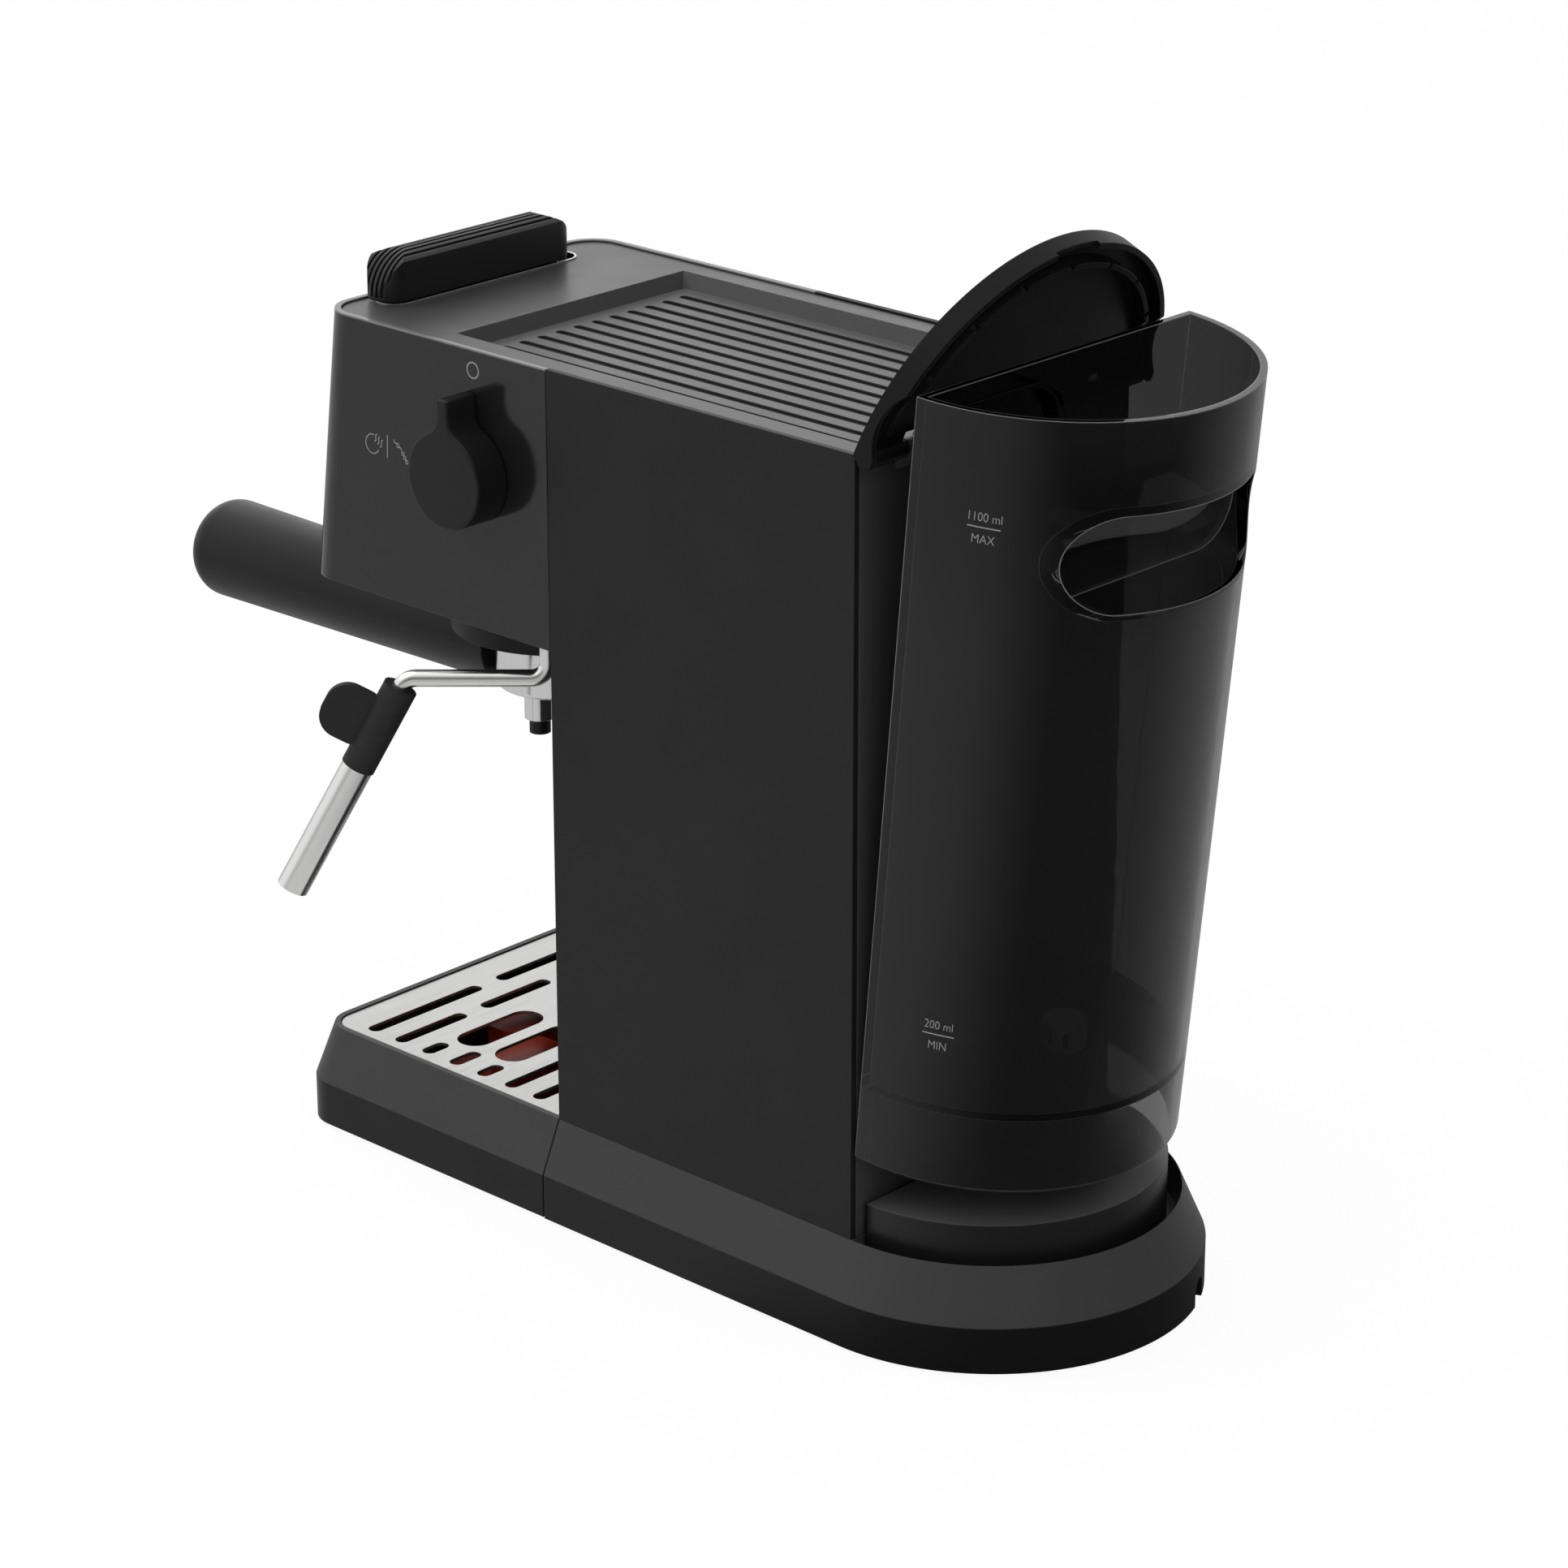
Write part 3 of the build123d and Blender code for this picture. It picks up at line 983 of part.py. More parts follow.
def make_tank_lid():
    """Half-round lid with an edge wall, an inner ring and a hinge knuckle."""
    top = LID_PIVOT_Z + KNUCKLE_R
    ahead = half_disc(LID_R)
    lid = Pos(0, LID_PIVOT_Y, top - LID_T) * extrude(ahead, LID_T)
    wall = extrude(half_disc(LID_R), -LID_EDGE) - extrude(half_disc(LID_R - 2.0), -LID_EDGE - 1)
    ring = extrude(half_disc(LID_RING_R), -LID_RING_H) - extrude(half_disc(LID_RING_R - 1.8), -LID_RING_H - 1)
    skirt = wall + (ring & block(-LID_R, LID_R, LID_RING_START, LID_R, -LID_RING_H - 1, 0))
    skirt -= rod_x(RELIEF_Y, -RELIEF_DEPTH - RELIEF_R, -LID_R - 1, LID_R + 1, RELIEF_R)
    lid += Pos(0, LID_PIVOT_Y, top) * skirt
    lid += rod_x(LID_PIVOT_Y, LID_PIVOT_Z, -LID_R + 2, LID_R - 2, KNUCKLE_R)
    for index in range(7):
        angle = 30 + 20 * index
        nick = block(LID_RING_R - 3, LID_RING_R + 1, -1, 1, -LID_RING_H - 1, -LID_RING_H + 2)
        lid -= Pos(0, LID_PIVOT_Y, top) * Rot(0, 0, angle) * nick
    for side in (-1, 1):
        x = side * LUG_X
        lid -= block(x - LUG_W / 2 - 0.5, x + LUG_W / 2 + 0.5, LID_PIVOT_Y - 10, LID_PIVOT_Y + 5.5,
                     LID_PIVOT_Z - 25, LID_PIVOT_Z + 15)
    lid -= rod_x(LID_PIVOT_Y, LID_PIVOT_Z, -LUG_X - 14, LUG_X + 14, PIN_R)
    finger = Pos(0, LID_PIVOT_Y + LID_R, top - LID_EDGE) * Box(20, 8, 3)
    return lid_rest(lid - finger)


def make_lid_pins():
    """Two hinge pins, each through one lug."""
    pins = []
    for side in (-1, 1):
        x = side * LUG_X
        pins.append(rod_x(LID_PIVOT_Y, LID_PIVOT_Z, x - 11, x + 11, PIN_R - 0.05))
    return pins


def make_inner_frame():
    """Folded steel plate that carries pump and control board."""
    plate = block(-FRAME_HALF, FRAME_HALF, FRAME_Y, FRAME_Y + FRAME_T, BASE_TOP, FRAME_TOP)
    plate += block(-FRAME_HALF, 9 - FRAME_HALF, FRAME_Y, FRAME_Y + 22, BASE_TOP, BASE_TOP + FRAME_T)
    plate += block(FRAME_HALF - 9, FRAME_HALF, FRAME_Y, FRAME_Y + 22, BASE_TOP, BASE_TOP + FRAME_T)
    plate += block(-COLUMN_HALF + WALL, 1 - FRAME_HALF, FRAME_Y, FRAME_Y + FRAME_T, EAR_Z0, EAR_Z0 + EAR_H)
    plate += block(FRAME_HALF - 1, COLUMN_HALF - WALL, FRAME_Y, FRAME_Y + FRAME_T, EAR_Z0, EAR_Z0 + EAR_H)
    return plate - block(-FRAME_CUT_HALF, FRAME_CUT_HALF, FRAME_Y - 1, FRAME_Y + 5, FRAME_CUT_Z0, FRAME_CUT_Z1)


def make_pump():
    """Vibration pump, upright, with a coil block and two spigots."""
    pump = rod_z(0, PUMP_Y, PUMP_Z0, PUMP_Z1, PUMP_R)
    pump += block(-COIL_HALF, COIL_HALF, PUMP_Y - COIL_HALF / 2, PUMP_Y + COIL_HALF, COIL_Z0, COIL_Z0 + COIL_H)
    for z0, z1 in ((PUMP_Z0 - 8, PUMP_Z0), (PUMP_Z1, PUMP_Z1 + 8)):
        pump += rod_z(0, PUMP_Y, z0, z1, HOSE_R)
    return pump - rod_z(0, PUMP_Y, PUMP_Z0 - 9, PUMP_Z1 + 9, 1.5)


def make_pump_mounts():
    """Two rubber blocks between pump and frame."""
    mounts = []
    for z in (PUMP_Z0 + 6, PUMP_Z1 - 5 - PAD_H):
        pad = block(-PAD_HALF, PAD_HALF, FRAME_Y + FRAME_T, PUMP_Y - PUMP_R + PAD_HALF / 2, z, z + PAD_H)
        mounts.append(pad - rod_z(0, PUMP_Y, PUMP_Z0 - 5, PUMP_Z1 + 5, PUMP_R))
    return mounts


def make_inlet_hose():
    """Water hose from the tank seat to the pump."""
    start = SOCKET_Y - SOCKET_R - SOCKET_WALL
    return tube([(0, start, HOSE_Z), (0, PUMP_Y, HOSE_Z), (0, PUMP_Y, PUMP_Z0 - 8)], 14.0, HOSE_R, HOSE_BORE)


def make_outlet_hose():
    """Pressure hose from the pump to the heater block."""
    over = BOILER_TOP + 22
    points = [(0, PUMP_Y, PUMP_Z1 + 8), (0, PUMP_Y, over), (0, GROUP_Y, over), (0, GROUP_Y, BOILER_TOP + 6)]
    return tube(points, 12.0, HOSE_R, HOSE_BORE)


BOARD_SPOTS = [(side * (BOARD_HALF - 6), z) for side in (-1, 1) for z in (BOARD_Z0 + 8, BOARD_Z1 - 8)]


def make_control_board():
    """Circuit board with its tallest components."""
    low = BOARD_Z0
    board = block(-BOARD_HALF, BOARD_HALF, FRAME_Y - 6.6, FRAME_Y - 5, low, BOARD_Z1)
    board += block(16 - BOARD_HALF, 36 - BOARD_HALF, FRAME_Y - 22, FRAME_Y - 6, low + 20, low + 40)
    board += block(BOARD_HALF - 38, BOARD_HALF - 12, FRAME_Y - 18, FRAME_Y - 6, low + 50, low + 76)
    return board + rod_y(26 - BOARD_HALF, low + 68, FRAME_Y - 24, FRAME_Y - 6, 7)


def make_board_spacers():
    """Four spacers between board and frame."""
    return [rod_y(x, z, FRAME_Y - 5, FRAME_Y, 3.2) for x, z in BOARD_SPOTS]


PARTS = {
    "base_shell": make_base_shell,
    "base_plate": make_base_plate,
    "rubber_feet": make_rubber_feet,
    "base_screws": make_base_screws,
    "cord_gland": make_cord_gland,
    "column_housing": make_column_housing,
    "rear_panel": make_rear_panel,
    "panel_screws": make_panel_screws,
    "head_cover": make_head_cover,
    "head_floor": make_head_floor,
    "top_plate": make_top_plate,
    "bar_bezel": make_bar_bezel,
    "control_bar": make_control_bar,
    "bar_pin": make_bar_pin,
    "drip_tray": make_drip_tray,
    "drip_grille": make_drip_grille,
    "tray_float": make_tray_float,
    "group_collar": make_group_collar,
    "group_head": make_group_head,
    "shower_screen": make_shower_screen,
    "screen_screw": make_screen_screw,
    "group_gasket": make_group_gasket,
    "boiler": make_boiler,
    "thermostat": make_thermostat,
    "portafilter_body": make_portafilter_body,
    "filter_basket": make_filter_basket,
    "spout_outlets": make_spout_outlets,
    "portafilter_handle": make_portafilter_handle,
    "steam_swivel": make_steam_swivel,
    "steam_pipe": make_steam_pipe,
    "steam_grip": make_steam_grip,
    "steam_tip": make_steam_tip,
    "steam_knob": make_steam_knob,
    "knob_shaft": make_knob_shaft,
    "steam_valve": make_steam_valve,
    "steam_hose": make_steam_hose,
    "tank_seat": make_tank_seat,
    "inlet_seal": make_inlet_seal,
    "water_tank": make_water_tank,
    "tank_valve": make_tank_valve,
    "tank_filter": make_tank_filter,
    "tank_lid": make_tank_lid,
    "lid_pins": make_lid_pins,
    "inner_frame": make_inner_frame,
    "pump": make_pump,
    "pump_mounts": make_pump_mounts,
    "inlet_hose": make_inlet_hose,
    "outlet_hose": make_outlet_hose,
    "control_board": make_control_board,
    "board_spacers": make_board_spacers,
}


def main():
    """Write every piece to its own file."""
    os.makedirs("parts", exist_ok=True)
    for name, make in PARTS.items():
        shape = make()
        if isinstance(shape, list):
            shape = Compound(children=shape)
        export_step(shape, f"parts/{name}.step")


main()
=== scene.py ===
import math

import bpy
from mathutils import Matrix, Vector


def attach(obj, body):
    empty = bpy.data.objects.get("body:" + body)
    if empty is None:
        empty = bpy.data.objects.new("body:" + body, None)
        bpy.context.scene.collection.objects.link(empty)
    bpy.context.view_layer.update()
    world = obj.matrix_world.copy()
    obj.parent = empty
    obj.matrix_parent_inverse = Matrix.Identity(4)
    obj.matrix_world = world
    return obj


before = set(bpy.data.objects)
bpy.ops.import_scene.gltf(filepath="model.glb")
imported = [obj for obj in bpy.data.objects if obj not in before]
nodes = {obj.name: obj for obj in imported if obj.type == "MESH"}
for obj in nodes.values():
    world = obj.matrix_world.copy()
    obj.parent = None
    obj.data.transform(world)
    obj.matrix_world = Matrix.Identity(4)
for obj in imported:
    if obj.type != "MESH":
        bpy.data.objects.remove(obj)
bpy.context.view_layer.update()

# Camera solved from the photograph: place in metres, turn in degrees, lens in millimetres
CAMERA_AT = (1.14444, 1.07485, 0.76162)
CAMERA_AZ = 133.139
CAMERA_EL = 21.165
CAMERA_LENS = 113.18
SENSOR = 36.0
CLIP_END = 20.0

# Sizes shared with the solids, in metres
PANEL_X = 0.066         # side of the head, which carries printed marks
BAND_TOP = 0.0179       # top of the upright band of the base
HEAD_TOP = 0.3063       # top of the head and column rim
TANK_REST_Y = 0.0949    # lower front edge of the drawn-up tank
TANK_REST_Z = 0.0656
TANK_LEAN = math.radians(5.33)
TANK_R_LOW = 0.065
TANK_R_HIGH = 0.066
TANK_H = 0.2659

# Noise of the materials, each a scale and a detail
CLOUD = (18, 4)         # broad change of shade in moulded plastic
GLOSS_DRIFT = (45, 5)   # uneven gloss of moulded plastic
MOULD_GRAIN = (2600, 2)
DRAWN_LINES = (900, 3)
RUBBER_CLOUD = (60, 4)
RUBBER_DRIFT = (300, 4)
RUBBER_GRAIN = (3500, 2)
TANK_DRIFT = (60, 3)
TANK_WAVES = (40, 2)
INK_BREAKS = (2400, 3)
INK_DRIFT = (900, 2)
BOARD_TRACES = (260, 2)
BOARD_DRIFT = (400, 2)
NOISE_SPAN = (0.3, 0.7)  # part of a noise that is carried to the limits
TRACE_STRETCH = (1, 1, 6)

# Shares of a shade or a roughness that a noise moves between
CLOUD_SHADES = (0.85, 1.15)
GREY_SHADES = (0.88, 1.12)
LINE_SHADES = (0.93, 1.05)
LINE_ROUGH = (0.75, 1.3)
RUBBER_SHADES = (0.8, 1.2)
TANK_ROUGH = (0.6, 1.6)
INK_SHADES = (0.75, 1.0)

# Bumps: depth in metres, and strength
MOULD_DEPTH = 0.00015
LINE_DEPTH = 0.00006
RUBBER_DEPTH = 0.0002
RUBBER_STRENGTH = 0.25
WAVE_DEPTH = 0.0004
WAVE_STRENGTH = 0.02

# Surfaces
GLOSS_SPREAD = 0.04        # roughness of moulded plastic, up and down
RUBBER_ROUGH = (0.55, 0.75)
INK_ROUGH = (0.5, 0.7)
BOARD_ROUGH = (0.25, 0.4)
RUBBER_SPECULAR = 0.3
INK_SPECULAR = 0.2
LEVEL_SPAN = (0.80, 0.97)  # height of the normal between slopes and level ground
EDGE_SPAN = (0.995, 0.90)  # agreement of true and rounded normal from flat ground to edges
HEIGHT_SOFT = 0.0003       # half the width of the change from painted shade to painted light at a height
RIM_HIGHLIGHT_DEPTH = 0.0005         # the painted highlight along the head's top edge starts this far below its top
EDGE_SAMPLES = 8
ROUND_SAMPLES = 6
RUBBER_EDGE = 0.0004       # rounding of edges
TANK_EDGE = 0.0006
TANK_HIGHLIGHT_WIDTH = 0.0007          # width of the painted highlight along the tank's edges
TANK_IOR = 1.45
TINT_FADE = (0.24, 0.30)   # heights between which the tint of the tank darkens
TINT_TOP = 0.3             # share of the tint that is left above them
HIGHLIGHT_CLEAR = 0.3            # clearness of the tank under its painted edge highlight

# Sockets of the colour mix: factor and two colours, and its result
MIX_INPUTS = (0, 6, 7)
MIX_RESULT = 2

# Light: lobes of the studio are each a direction, the cosines between which the lobe rises,
# and how much it adds
FLOOR_HALF = 6.0
FLOOR_SHADE = (0.95, 0.95, 0.95)
FLOOR_ROUGH = 0.9
FLOOR_SHARE = 0.93         # share of plain white where the floor is seen, the rest is shaded
FLOOR_DIM = 0.10
FLOOR_LOBES = [((0.80, -0.60, 0), -0.20, 0.75, 0.52), ((-0.94, 0.34, 0), 0.50, 1.0, 0.27)]
FLOOR_FAR = (0.6, 1.3)     # distances between which the reflected floor rises
FLOOR_FAR_GLOW = 0.6       # to this strength
WORLD_DIM = 0.20
WORLD_LOBES = [((0.45, -0.75, 0.48), 0.30, 0.95, 0.70), ((0, 0, 1), 0.30, 1.0, 0.75),
               ((-0.68, -0.66, 0.32), 0.72, 1.0, 0.85)]
WHITE = (1, 1, 1, 1)
KEY_AT = (1.1, -1.3, 1.9)
FILL_AT = (0.8, 1.6, 1.2)
LAMP_AIM = (0, 0, 0.16)
LAMP_SIZE = 1.2
LAMP_POWER = 12

# Printed marks, in metres: y and z on the side of the head, or height on the tank
PRINT_LIFT = 0.00004       # marks stand this far off their surface
PRINT_NARROW = 0.86        # width of the level lettering against its type
TYPE_THIN = 0.012          # strokes are drawn in by this share of the type size
RING_STEPS = 48
PATH_STEPS = 16
STRIP_STEPS = 12
OFF_RING = (-0.0772, 0.2991, 0.0027)  # y, z and radius
OFF_LINE = 0.00055
SIGN_LINE = 0.00038
CUP_ARC = (-0.1279, 0.2630, 0.0034, 75, 330)  # y, z, radius, start and end in degrees
CUP_STEAM = (-0.1262, 0.2655)
CUP_STEAM_STEP = (0.0014, -0.0008)
CUP_WAVE = (0.0032, 0.0004, 0.5)  # length, swing and lean
DIVIDE_PATH = [(-0.1206, 0.2595), (-0.1203, 0.2676)]
DIVIDE_LINE = 0.0004
JETS = [(-0.1158, 0.2657, 0.0034, 0.0005, -0.9), (-0.1146, 0.2644, 0.0030, 0.0005, -0.9)]
DROPS = (-0.1127, 0.2626)
DROP_STEP = (0.0009, -0.0013)
DROP_R = 0.0006
SIGN_REPEATS = 3           # wisps over the cup, and drops of the steam sign
LEVEL_ANGLE = math.radians(23.5)
LEVEL_HIGH = 0.2300
LEVEL_LOW = 0.0550
LEVEL_LINE = (0.0125, 0.0004)
LEVEL_TYPE = 0.0042
FIGURE_SHIFT = 0.0032
WORD_SHIFT = -0.0040


def link(obj):
    """Put a new object into the scene."""
    bpy.context.scene.collection.objects.link(obj)
    return obj


def mesh_object(name, points, faces, material):
    """New mesh piece from points and faces."""
    mesh = bpy.data.meshes.new(name)
    mesh.from_pydata(points, [], faces)
    mesh.update()
    mesh.materials.append(material)
    return link(bpy.data.objects.new(name, mesh))


def plug(tree, value, socket):
    """Join the output of a node to a socket, or set the socket to a plain value."""
    if isinstance(value, bpy.types.NodeSocket):
        tree.links.new(value, socket)
    else:
        socket.default_value = value


def combine(tree, operation, first, second):
    """Sum, product or the like of two values."""
    made = tree.nodes.new("ShaderNodeMath")
    made.operation = operation
    plug(tree, first, made.inputs[0])
    plug(tree, second, made.inputs[1])
    return made.outputs["Value"]


def vector_math(tree, operation, *vectors):
    """Outputs of a vector node, by name."""
    made = tree.nodes.new("ShaderNodeVectorMath")
    made.operation = operation
    for vector, socket in zip(vectors, made.inputs):
        plug(tree, vector, socket)
    return made.outputs


def ramp(tree, value, source, target, shape="LINEAR"):
    """Value carried from one range to another."""
    made = tree.nodes.new("ShaderNodeMapRange")
    made.interpolation_type = shape
    plug(tree, value, made.inputs["Value"])
    for key, limit in zip(("From Min", "From Max", "To Min", "To Max"), (*source, *target)):
        made.inputs[key].default_value = limit
    return made.outputs["Result"]


def smooth_step(tree, value, start, end, top=1.0):
    """Value that rises smoothly from 0 to its top between two limits."""
    return ramp(tree, value, (start, end), (0, top), "SMOOTHSTEP")


def tint(shade, share=1.0):
    """Shade times a share, as a full colour."""
    return (*[c * share for c in shade], 1)


class Paint:
    """Small helper that builds the node tree of one material."""

    def __init__(self, name):
        self.material = bpy.data.materials.new(name)
        self.material.use_nodes = True
        self.tree = self.material.node_tree
        self.bsdf = self.tree.nodes["Principled BSDF"]
        self.coords = self.node("ShaderNodeTexCoord").outputs

    def node(self, kind, **inputs):
        """New node, with inputs set or joined by name."""
        made = self.tree.nodes.new(kind)
        for key, value in inputs.items():
            plug(self.tree, value, made.inputs[key])
        return made

    def set(self, **values):
        """Set or join the shader's own sockets by name."""
        for key, value in values.items():
            plug(self.tree, value, self.bsdf.inputs[key.replace("_", " ")])

    def noise(self, scale, detail, stretch=(1, 1, 1)):
        """Noise in the object's own metres, stretched along its axes."""
        mapping = self.node("ShaderNodeMapping", Vector=self.coords["Object"], Scale=stretch)
        place = mapping.outputs["Vector"]
        made = self.node("ShaderNodeTexNoise", Vector=place, Scale=scale, Detail=detail)
        return made.outputs["Fac"]

    def between(self, factor, low, high):
        """Number that follows a noise between two limits."""
        return ramp(self.tree, factor, NOISE_SPAN, (low, high))

    def mix(self, factor, first, second):
        """Colour between two colours."""
        made = self.node("ShaderNodeMix")
        made.data_type = "RGBA"
        for place, value in zip(MIX_INPUTS, (factor, first, second)):
            plug(self.tree, value, made.inputs[place])
        return made.outputs[MIX_RESULT]

    def cloudy(self, factor, shade, low, high):
        """Colour that follows a factor between two shares of a shade."""
        return self.mix(factor, tint(shade, low), tint(shade, high))

    def rise(self, vector):
        """Z of a vector."""
        return self.node("ShaderNodeSeparateXYZ", Vector=vector).outputs["Z"]

    def level(self):
        """1 on level ground, 0 on walls and slopes."""
        return smooth_step(self.tree, self.rise(self.coords["Normal"]), *LEVEL_SPAN)

    def above(self, low, high):
        """1 above two heights in the shared frame, 0 below them."""
        return smooth_step(self.tree, self.rise(self.coords["Object"]), low, high)

    def edges(self, radius):
        """1 along sharp edges, 0 on flat ground."""
        bevel = self.node("ShaderNodeBevel", Radius=radius)
        bevel.samples = EDGE_SAMPLES
        plain = self.node("ShaderNodeNewGeometry")
        dot = vector_math(self.tree, "DOT_PRODUCT", bevel.outputs["Normal"], plain.outputs["Normal"])
        return smooth_step(self.tree, dot["Value"], *EDGE_SPAN)

    def surface(self, height, strength, depth, edge):
        """Grain as bump, over edges rounded by a small radius."""
        bevel = self.node("ShaderNodeBevel", Radius=edge)
        bevel.samples = ROUND_SAMPLES
        bump = self.node("ShaderNodeBump", Strength=strength, Distance=depth, Height=height,
                         Normal=bevel.outputs["Normal"])
        self.set(Normal=bump.outputs["Normal"])


def mould(paint, colour, rough, specular, grain, edge):
    """Finish of moulded plastic: a fine grain and slightly uneven gloss."""
    drift = paint.between(paint.noise(*GLOSS_DRIFT), rough - GLOSS_SPREAD, rough + GLOSS_SPREAD)
    paint.set(Base_Color=colour, Roughness=drift, Specular_IOR_Level=specular)
    paint.surface(paint.noise(*MOULD_GRAIN), grain, MOULD_DEPTH, edge)
    return paint.material


def moulded(name, shade, rough, specular, grain, edge):
    """Moulded plastic in one slightly cloudy shade."""
    paint = Paint(name)
    colour = paint.cloudy(paint.noise(*CLOUD), shade, *CLOUD_SHADES)
    return mould(paint, colour, rough, specular, grain, edge)


def painted_light_mould(name, greys, height, rough, specular, grain, edge):
    """Moulded plastic in two greys, the second above a height, or else on level ground: the darker
    grey is painted shade, the paler second grey painted light.
    """
    paint = Paint(name)
    cloud = paint.noise(*CLOUD)
    # Mask of the painted light: above the height, or else on level ground
    place = paint.above(height - HEIGHT_SOFT, height + HEIGHT_SOFT) if height else paint.level()
    shades = [paint.cloudy(cloud, [grey] * 3, *GREY_SHADES) for grey in greys]
    return mould(paint, paint.mix(place, *shades), rough, specular, grain, edge)


def metal(name, shade, rough, stretch, streak, edge):
    """Metal with fine drawn or polished lines."""
    paint = Paint(name)
    lines = paint.noise(*DRAWN_LINES, stretch)
    low, high = [rough * share for share in LINE_ROUGH]
    paint.set(Metallic=1.0, Base_Color=paint.cloudy(lines, shade, *LINE_SHADES),
              Roughness=paint.between(lines, low, high))
    paint.surface(lines, streak, LINE_DEPTH, edge)
    return paint.material


def soft_rubber(name, shade):
    """Matt rubber or silicone."""
    paint = Paint(name)
    paint.set(Base_Color=paint.cloudy(paint.noise(*RUBBER_CLOUD), shade, *RUBBER_SHADES),
              Roughness=paint.between(paint.noise(*RUBBER_DRIFT), *RUBBER_ROUGH),
              Specular_IOR_Level=RUBBER_SPECULAR)
    paint.surface(paint.noise(*RUBBER_GRAIN), RUBBER_STRENGTH, RUBBER_DEPTH, RUBBER_EDGE)
    return paint.material


def smoked(name, shade, edge, rough):
    """Clear plastic with a smoke tint, darker at the top, with a painted highlight along its edges
    in the edge shade: paler and less clear there.
    """
    paint = Paint(name)
    # Mask of the painted highlight along the tank's edges
    painted_edge_highlight = paint.edges(TANK_HIGHLIGHT_WIDTH)
    ground = paint.cloudy(paint.above(*TINT_FADE), shade, 1.0, TINT_TOP)
    low, high = [rough * share for share in TANK_ROUGH]
    paint.set(Base_Color=paint.mix(painted_edge_highlight, ground, tint(edge)), IOR=TANK_IOR,
              Transmission_Weight=ramp(paint.tree, painted_edge_highlight, (0, 1), (1, HIGHLIGHT_CLEAR)),
              Roughness=paint.between(paint.noise(*TANK_DRIFT), low, high))
    paint.surface(paint.noise(*TANK_WAVES), WAVE_STRENGTH, WAVE_DEPTH, TANK_EDGE)
    return paint.material


def printed(name, shade):
    """Pale ink of the printed marks, slightly broken."""
    paint = Paint(name)
    paint.set(Base_Color=paint.cloudy(paint.noise(*INK_BREAKS), shade, *INK_SHADES),
              Roughness=paint.between(paint.noise(*INK_DRIFT), *INK_ROUGH),
              Specular_IOR_Level=INK_SPECULAR)
    return paint.material


def board(name, dark, light):
    """Circuit board lacquer with fine traces."""
    paint = Paint(name)
    traces = paint.noise(*BOARD_TRACES, TRACE_STRETCH)
    paint.set(Base_Color=paint.mix(traces, tint(dark), tint(light)),
              Roughness=paint.between(paint.noise(*BOARD_DRIFT), *BOARD_ROUGH))
    return paint.material


# Plastics: shade, roughness, specular level, strength of the grain, rounding of the edges
SATIN = moulded("satin_black", (0.009, 0.009, 0.0094), 0.42, 0.22, 0.08, 0.0006)
MATTE = moulded("matte_black", (0.008, 0.008, 0.0083), 0.50, 0.25, 0.10, 0.0006)
# The rear panel is painted paler than the other blacks: painted light for its shaded wedge beside
# the tank
PANEL = moulded("panel_black", (0.040, 0.040, 0.0405), 0.45, 0.30, 0.02, 0.0006)
LID = moulded("lid_black", (0.006, 0.006, 0.0063), 0.42, 0.12, 0.05, 0.0006)
KNOB = moulded("knob_black", (0.007, 0.007, 0.0074), 0.38, 0.22, 0.05, 0.0012)
HANDLE = moulded("handle_black", (0.007, 0.007, 0.0074), 0.32, 0.22, 0.05, 0.0008)
BAR = moulded("bar_black", (0.007, 0.007, 0.0074), 0.38, 0.40, 0.05, 0.0005)
RED = moulded("red_plastic", (0.21, 0.022, 0.008), 0.35, 0.12, 0.05, 0.0006)
MESH = moulded("pale_mesh", (0.35, 0.35, 0.34), 0.5, 0.3, 0.1, 0.0003)
# Plastics in two greys, painted shade and painted light: greys, height of the change, then as above
# Base: the chamfer above the upright band is painted paler, painted light from above
BASE = painted_light_mould("base_black", (0.004, 0.034), BAND_TOP, 0.40, 0.25, 0.10, 0.0008)
# Head: a painted highlight along the top edge of the head cover
GLOSS = painted_light_mould("gloss_black", (0.008, 0.15), HEAD_TOP - RIM_HIGHLIGHT_DEPTH, 0.14, 0.45, 0.01, 0.0006)
# Top plate: level ground painted paler as painted light, walls and slopes darker as painted shade
TOP = painted_light_mould("top_black", (0.016, 0.055), None, 0.34, 0.50, 0.16, 0.0007)
# Tank seat: level ground painted paler, painted light on its top
SEAT = painted_light_mould("seat_black", (0.008, 0.080), None, 0.34, 0.40, 0.05, 0.0008)
# Metals: shade, roughness, stretch and strength of the lines, rounding of the edges
CHROME = metal("polished_chrome", (0.80, 0.80, 0.80), 0.12, (1, 1, 0.15), 0.02, 0.0004)
PIPE = metal("satin_pipe", (0.84, 0.84, 0.83), 0.17, (1, 1, 0.1), 0.01, 0.0003)
STEEL = metal("drawn_steel", (0.62, 0.62, 0.61), 0.30, (1, 1, 0.08), 0.06, 0.0002)
BLACKED = metal("blackened_steel", (0.05, 0.05, 0.05), 0.45, (1, 1, 1), 0.05, 0.0003)
GRILLE = metal("brushed_grille", (0.55, 0.55, 0.54), 0.36, (0.05, 1, 1), 0.10, 0.0003)
BRASS = metal("machined_brass", (0.70, 0.52, 0.25), 0.30, (1, 1, 0.1), 0.05, 0.0003)
CAST = metal("cast_aluminium", (0.62, 0.62, 0.63), 0.45, (1, 1, 1), 0.12, 0.0004)
# The rest
RUBBER = soft_rubber("black_rubber", (0.014, 0.014, 0.0147))
HOSE = soft_rubber("pale_hose", (0.62, 0.60, 0.56))
# Second shade: the painted highlight along the tank's edges
SMOKE = smoked("smoked_clear", (0.11, 0.11, 0.11), (0.20, 0.20, 0.20), 0.03)
INK = printed("pale_ink", (0.26, 0.26, 0.264))
BOARD = board("circuit_board", (0.01, 0.07, 0.03), (0.03, 0.16, 0.07))

